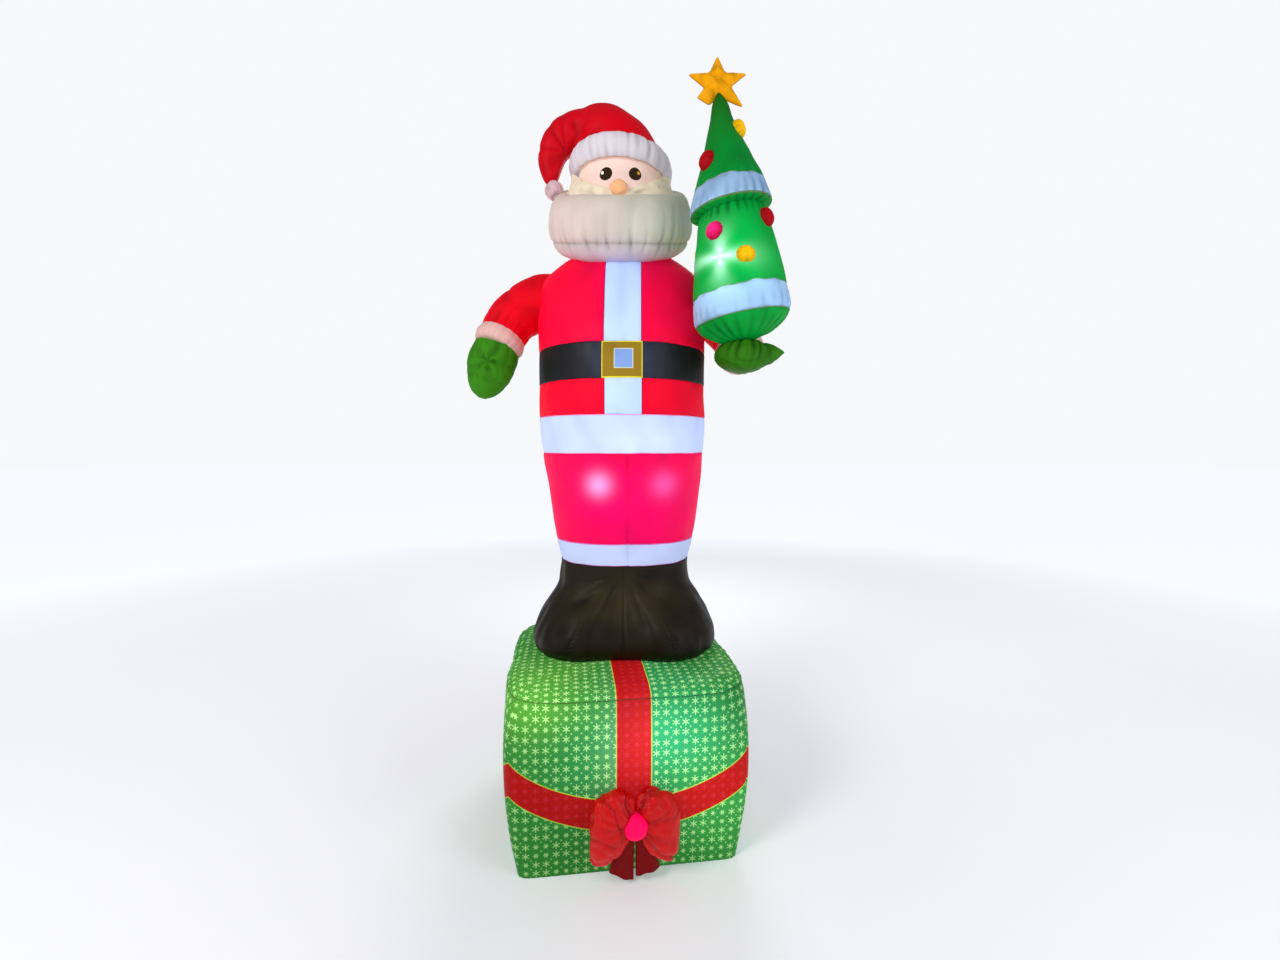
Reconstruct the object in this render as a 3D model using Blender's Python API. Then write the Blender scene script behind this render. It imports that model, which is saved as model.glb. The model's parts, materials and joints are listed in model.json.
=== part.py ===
"""Inflated garden Santa, standing on a gift box with a small Christmas tree in one hand.

Every sewn piece of cloth is one closed solid. Metres, +Z up, the front looks along -Y.
The origin is the middle of the box's underside.
"""

import math

import bmesh
import bpy
from mathutils import Matrix, Vector

# Clearance between two pieces that touch
SEAM = 0.0003
# How far a host grows before it cuts its seat, so that slanting facets keep the clearance too
SEAT_GROWTH = SEAM * 1.5
STEEPEST_LEAN = 0.3

# Gift box: half-widths at floor and seam, the seam's height, the crown above it, the boots' stand
BOX_FOOT = 0.397
BOX_RIM = 0.447
BOX_BULGE = 0.008
BOX_RIM_HEIGHT = 0.620
BOX_CROWN = 0.030
BOX_HEIGHT = BOX_RIM_HEIGHT + BOX_CROWN
BOX_STAND = 0.375
BOX_TURN = math.radians(7.4)
FOOT_SQUARENESS = 22
RIM_SQUARENESS = 5.2

# Figure: where its axis and its legs stand on the box, and the height of each band of cloth
BODY_X = 0.008
BODY_Y = 0.114
LEG_X = 0.018
BOOT_HEIGHT = 0.360
LEG_CUFF_HEIGHT = 0.090
TROUSER_HEIGHT = 0.366
HEM_HEIGHT = 0.149
SKIRT_HEIGHT = 0.135
BELT_HEIGHT = 0.140
COAT_HEIGHT = 0.455
GIRTH = 0.360

# Head, hat and beard
HEAD_HEIGHT = 0.355
HEAD_GIRTH = 0.228
HEAD_X = 0.001
HEAD_Y = 0.090
HAT_BAND = 0.186
HAT_HEIGHT = 0.274
BRIM_HEIGHT = 0.102
BRIM_THICKNESS = 0.040
BRIM_TILT = 0.100
BRIM_ROLL = 0.060
POMPOM_RADIUS = 0.041
BEARD_REACH = 0.318
BEARD_HEIGHT = 0.262
BEARD_DEPTH = 0.175
BEARD_LIFT = 0.195
BEARD_RISE = 0.015
MOUSTACHE_THICKNESS = 0.030
MOUSTACHE_FLARE = 0.024
MOUSTACHE_TOP = 0.155
MOUSTACHE_LOW = 0.070
MOUSTACHE_SWEEP = 0.165
NOSE_RADIUS = 0.036
NOSE_RISE = 0.165
NOSE_OUT = 0.010

# Arms, with the reach that their spines are shares of
ARM_REACH = 0.290
SLEEVE_RADIUS = 0.123
CUFF_LENGTH = 0.058
CUFF_RADIUS = 0.104
MITTEN_LENGTH = 0.235
THUMB_LENGTH = 0.110
THUMB_THICKNESS = 0.052
FINGER_LENGTH = 0.115

# Tree, with its lean and the roll of its rings. Its foot hangs below the shoulder, with the palm under it.
# The join of its two tiers is a share of its height.
TREE_HEIGHT = 0.957
TREE_RADIUS = 0.185
TREE_LEAN = math.radians(6.0)
TREE_ROLL = math.radians(10)
TREE_X = 0.491
TREE_Y = -0.205
TREE_DROP = 0.226
TIER_JOIN = 0.513
PALM_BACK = 0.030
PALM_DROP = 0.056
STAR_RADIUS = 0.112
STAR_THICKNESS = 0.066
BAUBLE_RADIUS = 0.036

# Bow on the box's front
BOW_HEIGHT = 0.213
BOW_X = 0.008
KNOT_RADIUS = 0.043
LOOP_LENGTH = 0.148
LOOP_HEIGHT = 0.240
LOOP_DEPTH = 0.100
LOOP_RISE = 0.030
LOOP_DROP = 0.035
TAIL_LENGTH = 0.155
TAIL_WIDTH = 0.085

# Facets
BOX_SIDES = 32
BODY_SIDES = 24
HEAD_SIDES = 22
LIMB_SIDES = 16
SMALL_SIDES = 8

# Angle beyond which an edge stays sharp, and the roughness of nylon
CREASE = math.radians(50)
SHEEN_ROUGHNESS = 0.45

RED = (0.78, 0.01, 0.06)
DARK_RED = (0.55, 0.01, 0.01)
WHITE = (0.62, 0.68, 0.86)
CREAM = (0.56, 0.48, 0.42)
SKIN = (0.72, 0.52, 0.48)
ORANGE = (0.78, 0.42, 0.22)
BLACK = (0.025, 0.022, 0.020)
BROWN_BLACK = (0.035, 0.028, 0.014)
GREEN = (0.02, 0.45, 0.12)
MITTEN_GREEN = (0.07, 0.26, 0.03)
PRINT_GREEN = (0.11, 0.42, 0.14)
AMBER = (0.72, 0.34, 0.01)
YELLOW = (0.75, 0.55, 0.03)
PINK = (0.90, 0.02, 0.12)


def clear_scene():
    for thing in list(bpy.data.objects):
        bpy.data.objects.remove(thing, do_unlink=True)


def cloth(name, colour):
    """A nylon cloth of one colour."""
    material = bpy.data.materials.new(name)
    material.use_nodes = True
    shader = material.node_tree.nodes["Principled BSDF"]
    shader.inputs["Base Color"].default_value = (*colour, 1.0)
    shader.inputs["Roughness"].default_value = SHEEN_ROUGHNESS
    shader.inputs["Metallic"].default_value = 0.0
    return material


def finish(name, body, colour):
    """Turn the mesh into an object with smooth shading and its own cloth."""
    bmesh.ops.recalc_face_normals(body, faces=body.faces)
    bmesh.ops.triangulate(body, faces=body.faces)
    mesh = bpy.data.meshes.new(name)
    body.to_mesh(mesh)
    body.free()
    mesh.shade_smooth()
    mesh.set_sharp_from_angle(angle=CREASE)
    mesh.materials.append(cloth(name, colour))
    thing = bpy.data.objects.new(name, mesh)
    bpy.context.scene.collection.objects.link(thing)
    return thing


def piece(name, rings, colour):
    """One closed solid: faces between the rings, with a middle point closing each end."""
    body = bmesh.new()
    rows = [[body.verts.new(point) for point in ring] for ring in rings]
    for low, high in zip(rows, rows[1:]):
        for here in range(len(low)):
            there = (here + 1) % len(low)
            body.faces.new((low[here], low[there], high[there], high[here]))
    for row in (rows[0], rows[-1]):
        middle = sum((vert.co for vert in row), Vector()) / len(row)
        pole = body.verts.new(middle)
        for here in range(len(row)):
            body.faces.new((row[here], row[(here + 1) % len(row)], pole))
    return finish(name, body, colour)


def closed_band(name, rings, colour):
    """A solid ring: the last cross-section joins the first."""
    body = bmesh.new()
    rows = [[body.verts.new(point) for point in ring] for ring in rings]
    for row, following in zip(rows, rows[1:] + rows[:1]):
        for here in range(len(row)):
            there = (here + 1) % len(row)
            body.faces.new((row[here], row[there], following[there], following[here]))
    return finish(name, body, colour)


def hide_tool(tool):
    tool.hide_render = True
    tool.display_type = "WIRE"


def add_boolean(thing, tool, operation):
    hide_tool(tool)
    step = thing.modifiers.new(f"{operation.lower()} {tool.name}", "BOOLEAN")
    step.operation = operation
    step.solver = "EXACT"
    step.object = tool


def grown_copy(evaluated):
    """A mesh with every face moved out by the seat's growth, at sharp edges too."""
    mesh = bpy.data.meshes.new_from_object(evaluated)
    body = bmesh.new()
    body.from_mesh(mesh)
    body.normal_update()
    moves = []
    for vert in body.verts:
        lean = min(vert.normal.dot(face.normal) for face in vert.link_faces)
        moves.append(vert.normal * SEAT_GROWTH / max(lean, STEEPEST_LEAN))
    for vert, move in zip(body.verts, moves):
        vert.co += move
    body.to_mesh(mesh)
    body.free()
    return mesh


def seat(thing, *hosts):
    """Cut away what reaches into each host, with the seam's clearance left between them."""
    for host in hosts:
        bpy.context.view_layer.update()
        evaluated = host.evaluated_get(bpy.context.evaluated_depsgraph_get())
        mesh = grown_copy(evaluated)
        tool = bpy.data.objects.new(f"{thing.name}_seat_on_{host.name}", mesh)
        bpy.context.scene.collection.objects.link(tool)
        add_boolean(thing, tool, "DIFFERENCE")


def along(stations, share):
    """The values at a share, on a smooth curve through stations of (share, value, value...)."""
    last = len(stations) - 1
    here = max(0, min(last - 1, sum(station[0] <= share for station in stations) - 1))
    before = stations[max(here - 1, 0)]
    low = stations[here]
    high = stations[here + 1]
    after = stations[min(here + 2, last)]
    span = high[0] - low[0]
    t = (share - low[0]) / span
    values = []
    for k in range(1, len(low)):
        slope_in = (high[k] - before[k]) / (high[0] - before[0]) * span
        slope_out = (after[k] - low[k]) / (after[0] - low[0]) * span
        rise = high[k] - low[k]
        values.append(
            low[k]
            + slope_in * t
            + (3 * rise - 2 * slope_in - slope_out) * t**2
            + (slope_in + slope_out - 2 * rise) * t**3
        )
    return values


def spread(low, high, count):
    return [low + (high - low) * step / (count - 1) for step in range(count)]


def signed_power(value, power):
    return math.copysign(abs(value) ** power, value)


def section(x, y, z, half_width, front, back, power=2.0, sides=BODY_SIDES, valley=0.0):
    """A level ring, rounder or squarer by its power, pulled in at the middle of front and back."""
    ring = []
    for side in range(sides):
        angle = 2 * math.pi * side / sides
        across = math.cos(angle)
        deep = math.sin(angle)
        dent = 1 - valley * math.exp(-((across / 0.22) ** 2))
        depth = back if deep > 0 else front
        ring.append(
            Vector(
                (
                    x + half_width * signed_power(across, 2 / power),
                    y + depth * signed_power(deep, 2 / power) * dent,
                    z,
                )
            )
        )
    return ring


def heading(stations, share):
    """The way that a spine points at a share."""
    ahead = Vector(along(stations, min(share + 0.04, 1.0))[:3])
    back = Vector(along(stations, max(share - 0.04, 0.0))[:3])
    return (ahead - back).normalized()


def tube(stations, rings, sides, up=Vector((0, 1, 0))):
    """Rings square to a smooth spine through stations of (share, x, y, z, half width, half depth)."""
    result = []
    for share in spread(0.0, 1.0, rings):
        x, y, z, half_width, half_depth = along(stations, share)
        tangent = heading(stations, share)
        depth_way = (up - tangent * up.dot(tangent)).normalized()
        width_way = depth_way.cross(tangent)
        ring = []
        for side in range(sides):
            angle = 2 * math.pi * side / sides
            ring.append(
                Vector((x, y, z))
                + width_way * half_width * math.cos(angle)
                + depth_way * half_depth * math.sin(angle)
            )
        result.append(ring)
    return result


# Gift box


def box_half_width(height):
    share = height / BOX_RIM_HEIGHT
    rise = (BOX_RIM - BOX_FOOT) * math.sin(share * math.pi / 2)
    return BOX_FOOT + rise + BOX_BULGE * math.sin(share * math.pi)


def box_ring(height, half_width):
    """A square ring with soft corners, crisper at the foot than at the rim, turned with the box."""
    share = min(height / BOX_RIM_HEIGHT, 1.0)
    power = FOOT_SQUARENESS + (RIM_SQUARENESS - FOOT_SQUARENESS) * share
    ring = section(0, 0, height, half_width, half_width, half_width, power, BOX_SIDES)
    turn = Matrix.Rotation(BOX_TURN, 3, "Z")
    return [turn @ point for point in ring]


def gift_box():
    rings = [box_ring(height, box_half_width(height)) for height in spread(0, BOX_RIM_HEIGHT, 8)]
    middle = (BOX_RIM + BOX_STAND) / 2
    rings.append(box_ring(BOX_RIM_HEIGHT + BOX_CROWN * 0.75, middle))
    rings.append(box_ring(BOX_HEIGHT, BOX_STAND))
    return piece("gift_box", rings, PRINT_GREEN)


# Bands of the figure, from the boots up

BOOTS_TOP = BOX_HEIGHT + SEAM + BOOT_HEIGHT
LEG_CUFFS_TOP = BOOTS_TOP + LEG_CUFF_HEIGHT
TROUSERS_TOP = LEG_CUFFS_TOP + TROUSER_HEIGHT
HEM_TOP = TROUSERS_TOP + HEM_HEIGHT
SKIRT_TOP = HEM_TOP + SKIRT_HEIGHT
BELT_TOP = SKIRT_TOP + BELT_HEIGHT
COAT_TOP = BELT_TOP + COAT_HEIGHT

# Height, the middle's x, shares of the girth: half-width, front, back; then the middle seam's depth
FIGURE = (
    (BOOTS_TOP, LEG_X, 0.770, 0.67, 0.67, 0.03),
    (LEG_CUFFS_TOP, LEG_X, 0.829, 0.70, 0.70, 0.03),
    (LEG_CUFFS_TOP + TROUSER_HEIGHT * 0.5, LEG_X, 0.903, 0.86, 0.78, 0.06),
    (TROUSERS_TOP, (LEG_X + BODY_X) / 2, 0.967, 1.02, 0.86, 0.02),
    (HEM_TOP, BODY_X, 0.997, 1.11, 0.92, 0.0),
    (SKIRT_TOP, BODY_X, 0.995, 1.14, 0.93, 0.0),
    (BELT_TOP, BODY_X, 1.000, 1.12, 0.93, 0.0),
    (BELT_TOP + COAT_HEIGHT * 0.38, BODY_X, 1.018, 0.98, 0.92, 0.0),
    (BELT_TOP + COAT_HEIGHT * 0.66, BODY_X, 0.985, 0.80, 0.85, 0.0),
    (BELT_TOP + COAT_HEIGHT * 0.84, BODY_X, 0.770, 0.60, 0.68, 0.0),
    (COAT_TOP, BODY_X, 0.420, 0.40, 0.42, 0.0),
)


def figure_ring(height, level):
    x, half_width, front, back, valley = along(FIGURE, height)
    sizes = (half_width * GIRTH, front * GIRTH, back * GIRTH)
    return section(x, BODY_Y, level, *sizes, 2.15, valley=valley)


def band(name, low, high, rings, colour):
    """A ring-shaped band of cloth around the figure; it stands one seam above the band below."""
    heights = spread(low, high, rings)
    levels = [low + SEAM] + heights[1:]
    return piece(name, [figure_ring(h, level) for h, level in zip(heights, levels)], colour)


# Share of the boot's height, then shares of the girth: half-width, front, back; then the middle seam
BOOT = (
    (0.00, 1.000, 0.90, 0.74, 0.13),
    (0.05, 1.055, 1.00, 0.79, 0.16),
    (0.14, 1.083, 1.06, 0.81, 0.18),
    (0.32, 1.030, 1.03, 0.79, 0.18),
    (0.52, 0.915, 0.90, 0.75, 0.15),
    (0.72, 0.797, 0.72, 0.69, 0.08),
    (1.00, 0.770, 0.67, 0.67, 0.03),
)


def boot_ring(share, side):
    """Half of the figure's outline: an outer arc, and a straight inner side along the middle seam."""
    half_width, front, back, valley = along(BOOT, share)
    level = BOX_HEIGHT + SEAM + BOOT_HEIGHT * share
    power = 2.9 - 0.75 * share
    arc = BODY_SIDES // 2
    ring = []
    for step in range(arc + 1):
        angle = math.pi * (step / arc - 0.5)
        across = max(math.cos(angle), 0.0)
        deep = math.sin(angle)
        dent = 1 - valley * math.exp(-((across / 0.30) ** 2))
        depth = back if deep > 0 else front
        x = SEAM / 2 + half_width * GIRTH * across ** (2 / power)
        y = depth * GIRTH * signed_power(deep, 2 / power) * dent
        ring.append(Vector((LEG_X + side * x, BODY_Y + y, level)))
    rear = ring[-1].y
    face = ring[0].y
    for y in spread(rear, face, 5)[1:-1]:
        ring.append(Vector((LEG_X + side * SEAM / 2, y, level)))
    return ring


def boot(name, side):
    shares = (0.0, 0.05, 0.14, 0.25, 0.38, 0.52, 0.64, 0.74, 0.87, 1.0)
    return piece(name, [boot_ring(share, side) for share in shares], BROWN_BLACK)


# Head

HEAD_LOW = COAT_TOP + SEAM
HEAD_TOP = COAT_TOP + HEAD_HEIGHT

# Share of the head's height, then shares of its girth: half-width, front, back
HEAD = (
    (0.00, 0.84, 0.62, 0.84),
    (0.07, 0.92, 0.78, 0.90),
    (0.28, 0.98, 0.93, 0.95),
    (0.55, 0.99, 0.97, 0.96),
    (0.80, HAT_BAND / HEAD_GIRTH, HAT_BAND / HEAD_GIRTH, HAT_BAND / HEAD_GIRTH),
    (1.00, HAT_BAND / HEAD_GIRTH, HAT_BAND / HEAD_GIRTH, HAT_BAND / HEAD_GIRTH),
)


def head_ring(share):
    half_width, front, back = (value * HEAD_GIRTH for value in along(HEAD, share))
    level = HEAD_LOW + (HEAD_TOP - HEAD_LOW) * share
    return section(HEAD_X, HEAD_Y, level, half_width, front, back, sides=HEAD_SIDES)


def head():
    shares = (0.0, 0.07, 0.18, 0.30, 0.43, 0.56, 0.68, 0.80, 1.0)
    return piece("head", [head_ring(share) for share in shares], SKIN)


def head_point(turn, height, out=0.0):
    """A point on the head's surface, turned from the front towards +X, at a height."""
    share = (height - HEAD_LOW) / (HEAD_TOP - HEAD_LOW)
    half_width, front, back = (value * HEAD_GIRTH + out for value in along(HEAD, share))
    depth = front if abs(turn) < math.pi / 2 else back
    return Vector((HEAD_X + half_width * math.sin(turn), HEAD_Y - depth * math.cos(turn), height))


# Hat: a dome on the head, its long tip folded over to the figure's right side

# Share of the hat's height, shift to the right side as a share of the band, radius as a share of it
DOME = (
    (0.00, 0.00, 1.00),
    (0.20, 0.00, 1.00),
    (0.36, 0.06, 0.935),
    (0.58, 0.20, 0.870),
    (0.78, 0.34, 0.710),
    (0.93, 0.46, 0.450),
    (1.00, 0.50, 0.120),
)


def dome_ring(share):
    shift, radius = along(DOME, share)
    level = HEAD_TOP + SEAM + HAT_HEIGHT * share
    radius *= HAT_BAND
    return section(HEAD_X - shift * HAT_BAND, HEAD_Y, level, radius, radius, radius, sides=HEAD_SIDES)


def tip_station(share, out, rise, radius):
    """A spine station of the tip, from shares of the hat band's radius and the hat's height."""
    return (
        share,
        HEAD_X - out * HAT_BAND,
        HEAD_Y - 0.25 * HAT_BAND * share,
        HEAD_TOP + rise * HAT_HEIGHT,
        radius * HAT_BAND,
        radius * HAT_BAND,
    )


TIP = (
    tip_station(0.00, 0.36, 0.58, 0.50),
    tip_station(0.22, 0.86, 0.60, 0.52),
    tip_station(0.42, 1.28, 0.52, 0.45),
    tip_station(0.60, 1.53, 0.31, 0.37),
    tip_station(0.78, 1.62, 0.06, 0.30),
    tip_station(0.93, 1.60, -0.16, 0.22),
    tip_station(1.00, 1.56, -0.24, 0.15),
)


def hat():
    shares = (0.0, 0.20, 0.36, 0.52, 0.67, 0.80, 0.91, 0.98)
    dome = piece("hat", [dome_ring(share) for share in shares], RED)
    tip = piece("hat_tip_tool", tube(TIP, 9, 12), RED)
    add_boolean(dome, tip, "UNION")
    return dome


def pompom_centre():
    x, y, z = along(TIP, 1.0)[:3]
    return Vector((x + 0.1 * POMPOM_RADIUS, y, z - 0.9 * POMPOM_RADIUS))


def ball(name, centre, radii, colour, sides, rows, pleat=0.0, turn=None):
    """A ball or an egg, with pleats around it where a pleat depth is given."""
    turn = turn or Matrix.Identity(3)
    rings = []
    for row in range(1, rows):
        angle = math.pi * row / rows
        ring = []
        for side in range(sides):
            around = 2 * math.pi * side / sides
            fold = 1 - pleat * (side % 2) * math.sin(angle)
            point = Vector(
                (
                    radii[0] * math.sin(angle) * math.cos(around) * fold,
                    radii[1] * math.sin(angle) * math.sin(around) * fold,
                    radii[2] * math.cos(angle),
                )
            )
            ring.append(centre + turn @ point)
        rings.append(ring)
    tips = [centre + turn @ Vector((0, 0, radii[2] * end)) for end in (1, -1)]
    rings.insert(0, [tips[0].lerp(point, 0.25) for point in rings[0]])
    rings.append([tips[1].lerp(point, 0.25) for point in rings[-1]])
    return piece(name, rings, colour)


def hat_brim():
    """A gathered band around head and hat, higher in front, with an upright inner wall."""
    inner = HAT_BAND + SEAM
    middle = HEAD_TOP
    corners = 4
    body = []
    for side in range(HEAD_SIDES * 2):
        angle = math.pi * side / HEAD_SIDES
        fold = 1 - 0.14 * (side % 2)
        ring = []
        for corner in range(corners):
            lift = math.pi * (corner / (corners - 1) - 0.5)
            out = BRIM_THICKNESS * (0.18 + 0.82 * math.cos(lift) * fold)
            ring.append((inner + out, middle + BRIM_HEIGHT / 2 * math.sin(lift)))
        ring.append((inner, middle + BRIM_HEIGHT / 2 * 0.92))
        ring.append((inner, middle - BRIM_HEIGHT / 2 * 0.92))
        points = []
        for reach, z in ring:
            x = reach * math.cos(angle)
            y = reach * math.sin(angle)
            points.append(Vector((HEAD_X + x, HEAD_Y + y, z - BRIM_TILT * y - BRIM_ROLL * x)))
        body.append(points)
    return closed_band("hat_brim", body, WHITE)


# Beard and moustache wrap the lower face from ear to ear

BEARD_MIDDLE = COAT_TOP + BEARD_RISE
BEARD_TURN = math.radians(112)
MOUSTACHE_TURN = math.radians(82)


def beard():
    """A crescent cushion, low under the nose and higher at the ears, with one seam along it."""
    rings = []
    for share in (-0.98, -0.90, -0.76, -0.58, -0.38, -0.18, 0, 0.18, 0.38, 0.58, 0.76, 0.90, 0.98):
        turn = BEARD_TURN * share
        size = math.sqrt(1 - abs(share) ** 7)
        depth = BEARD_DEPTH / 2 * size
        height = BEARD_HEIGHT / 2 * math.sqrt(size) * (1 + 0.10 * share**2)
        reach = BEARD_REACH - BEARD_DEPTH / 2
        level = BEARD_MIDDLE + BEARD_LIFT * share**2
        ring = []
        for corner in range(10):
            angle = 2 * math.pi * corner / 10
            pull = 0.93 if corner == 9 else 1.0
            out = reach + depth * signed_power(math.cos(angle), 0.85) * pull
            z = level + height * signed_power(math.sin(angle), 0.85) * pull
            ring.append(
                Vector((HEAD_X + out * math.sin(turn), HEAD_Y - out * math.cos(turn), z))
            )
        rings.append(ring)
    return piece("beard", rings, CREAM)


def moustache():
    """A thin crescent over the cheeks; both ends rise to a point beside the brim."""
    rings = []
    for share in (-1.0, -0.93, -0.80, -0.62, -0.42, -0.2, 0, 0.2, 0.42, 0.62, 0.80, 0.93, 1.0):
        reach = abs(share)
        top = BEARD_MIDDLE + MOUSTACHE_TOP + MOUSTACHE_SWEEP * reach**1.2
        low = BEARD_MIDDLE + MOUSTACHE_LOW + MOUSTACHE_SWEEP * (0.303 * reach + 0.606 * reach**4)
        thickness = MOUSTACHE_THICKNESS * (1 - 0.45 * reach**3)
        flare = MOUSTACHE_FLARE * reach**3
        ring = []
        for corner in range(6):
            angle = 2 * math.pi * corner / 6
            level = (top + low) / 2 + (top - low) / 2 * math.sin(angle)
            out = flare + thickness / 2 * math.cos(angle)
            ring.append(head_point(MOUSTACHE_TURN * share, level, out))
        rings.append(ring)
    return piece("moustache", rings, CREAM)


def nose():
    place = head_point(0.0, BEARD_MIDDLE + NOSE_RISE, NOSE_OUT)
    radii = (NOSE_RADIUS, NOSE_RADIUS * 0.85, NOSE_RADIUS * 0.93)
    return ball("nose", place, radii, ORANGE, 10, 5)


# Arms: the right one hangs free, the left one reaches under the tree

SHOULDER = Vector((BODY_X + GIRTH * 0.76, BODY_Y, BELT_TOP + COAT_HEIGHT * 0.53))


def arm_spine(side, points):
    """Sleeve stations: share; shares of the reach out, forward and down; share of the radius."""
    stations = []
    for share, out, forward, drop, radius in points:
        stations.append(
            (
                share,
                BODY_X + side * (SHOULDER.x - BODY_X + out * ARM_REACH),
                SHOULDER.y - forward * ARM_REACH,
                SHOULDER.z - drop * ARM_REACH,
                SLEEVE_RADIUS * radius,
                SLEEVE_RADIUS * radius,
            )
        )
    return stations


RIGHT_ARM = arm_spine(
    -1,
    (
        (0.00, -0.0345, 0.0000, 0.0000, 0.99),
        (0.30, 0.2759, 0.0069, 0.0207, 1.02),
        (0.55, 0.5345, 0.0690, 0.1379, 0.95),
        (0.78, 0.7241, 0.1552, 0.3448, 0.87),
        (1.00, 0.8310, 0.2586, 0.5759, 0.79),
    ),
)
LEFT_ARM = arm_spine(
    1,
    (
        (0.00, -0.0345, -0.0517, 0.0000, 0.99),
        (0.26, 0.2759, -0.1034, 0.0345, 0.98),
        (0.50, 0.5793, -0.2069, 0.2414, 0.91),
        (0.76, 0.8000, -0.2241, 0.5103, 0.83),
        (1.00, 0.8345, 0.0345, 0.7103, 0.76),
    ),
)


def wrist(stations):
    """Where a sleeve ends, and the way it points there."""
    return Vector(along(stations, 1.0)[:3]), heading(stations, 1.0)


def sleeve(name, stations):
    return piece(name, tube(stations, 8, LIMB_SIDES), RED)


def arm_cuff(name, stations):
    end, way = wrist(stations)
    low = end + way * SEAM
    high = end + way * CUFF_LENGTH
    spine = (
        (0.0, *low, CUFF_RADIUS * 0.98, CUFF_RADIUS * 0.98),
        (0.5, *((low + high) / 2), CUFF_RADIUS * 1.03, CUFF_RADIUS * 1.03),
        (1.0, *high, CUFF_RADIUS * 0.95, CUFF_RADIUS * 0.95),
    )
    return piece(name, tube(spine, 4, LIMB_SIDES), WHITE)


# Share of the mitten's length, then half-width and half-depth as shares of the cuff's radius
MITTEN = (
    (0.00, 0.90, 0.82),
    (0.25, 1.00, 0.84),
    (0.50, 0.94, 0.78),
    (0.75, 0.74, 0.62),
    (0.92, 0.46, 0.40),
    (1.00, 0.16, 0.16),
)


def mitten_right():
    end, way = wrist(RIGHT_ARM)
    start = end + way * CUFF_LENGTH * 0.8
    down = Vector((-0.27, -0.12, -1.0)).normalized()
    spine = []
    for share, width, depth in MITTEN:
        place = start + down * MITTEN_LENGTH * share
        spine.append((share, *place, CUFF_RADIUS * width, CUFF_RADIUS * depth))
    return piece("mitten_right", tube(spine, 8, LIMB_SIDES), MITTEN_GREEN)


def mitten_left():
    """A flat hand under the tree, its thumb out to the side."""
    end, way = wrist(LEFT_ARM)
    start = end + way * CUFF_LENGTH * 0.8
    palm = Vector((TREE_X, TREE_Y + PALM_BACK, TREE_LOW - PALM_DROP))
    tip = palm + Vector((0, -FINGER_LENGTH, 0))
    spine = (
        (0.00, *start, CUFF_RADIUS * 0.86, CUFF_RADIUS * 0.86),
        (0.32, *start.lerp(palm, 0.50), CUFF_RADIUS * 1.00, CUFF_RADIUS * 0.76),
        (0.62, *palm, CUFF_RADIUS * 1.08, CUFF_RADIUS * 0.63),
        (0.86, *palm.lerp(tip, 0.7), CUFF_RADIUS * 0.84, CUFF_RADIUS * 0.55),
        (1.00, *tip, CUFF_RADIUS * 0.30, CUFF_RADIUS * 0.24),
    )
    rings = tube(spine, 7, LIMB_SIDES, Vector((0, 0, 1)))
    hand = piece("mitten_left", rings, MITTEN_GREEN)
    root = palm + Vector((CUFF_RADIUS * 0.45, -CUFF_RADIUS * 0.19, 0))
    point = root + Vector((THUMB_LENGTH, -THUMB_LENGTH * 0.14, THUMB_LENGTH * 0.07))
    thumb_spine = (
        (0.0, *root, THUMB_THICKNESS * 0.96, THUMB_THICKNESS),
        (0.5, *root.lerp(point, 0.5), THUMB_THICKNESS * 0.77, THUMB_THICKNESS * 0.73),
        (1.0, *point, THUMB_THICKNESS * 0.12, THUMB_THICKNESS * 0.12),
    )
    thumb = piece("mitten_left_thumb_tool", tube(thumb_spine, 5, 8), MITTEN_GREEN)
    add_boolean(hand, thumb, "UNION")
    return hand


# Tree: two tiers with a band of snow each, leaning towards the head

TREE_LOW = SHOULDER.z - TREE_DROP


def lower_share(share):
    return TIER_JOIN * share


def upper_share(share):
    return TIER_JOIN + (1 - TIER_JOIN) * share


# Share of the tier's height, then the radius as a share of the widest
LOWER_TIER = (
    (lower_share(0.0000), 0.300),
    (lower_share(0.0234), 0.530),
    (lower_share(0.0897), 0.820),
    (lower_share(0.1676), 0.970),
    (lower_share(0.2281), 1.000),
    (lower_share(0.3996), 0.960),
    (lower_share(0.5945), 0.890),
    (lower_share(0.7934), 0.790),
    (lower_share(0.9318), 0.720),
    (lower_share(1.0000), 0.660),
)
UPPER_TIER = (
    (upper_share(0.0000), 0.660),
    (upper_share(0.0144), 0.810),
    (upper_share(0.0554), 0.845),
    (upper_share(0.1992), 0.745),
    (upper_share(0.4066), 0.550),
    (upper_share(0.6160), 0.360),
    (upper_share(0.7823), 0.235),
    (upper_share(0.9281), 0.145),
    (upper_share(1.0000), 0.050),
)


def tree_ring(stations, share, lift=0.0, fold=0.0, sides=24):
    """A ring of a tier, rolled sideways, round the leaning axis; a fold pulls in every other point."""
    radius = along(stations, share)[0] * TREE_RADIUS
    rise = TREE_HEIGHT * share
    centre = Vector((TREE_X - rise * math.tan(TREE_LEAN), TREE_Y, TREE_LOW + rise + lift))
    ring = []
    for side in range(sides):
        angle = 2 * math.pi * side / sides
        reach = radius * (1 - fold * (side % 2))
        x = reach * math.cos(angle)
        ring.append(centre + Vector((x, reach * math.sin(angle), x * math.tan(TREE_ROLL))))
    return ring


def tree_point(stations, share, turn):
    """A point on a tier, turned from the front towards +X, and the way out of it there."""
    radius = along(stations, share)[0] * TREE_RADIUS
    rise = TREE_HEIGHT * share
    x = radius * math.sin(turn)
    way = Vector((math.sin(turn), -math.cos(turn), 0.25)).normalized()
    place = Vector(
        (
            TREE_X - rise * math.tan(TREE_LEAN) + x,
            TREE_Y - radius * math.cos(turn),
            TREE_LOW + rise + x * math.tan(TREE_ROLL),
        )
    )
    return place, way


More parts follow.
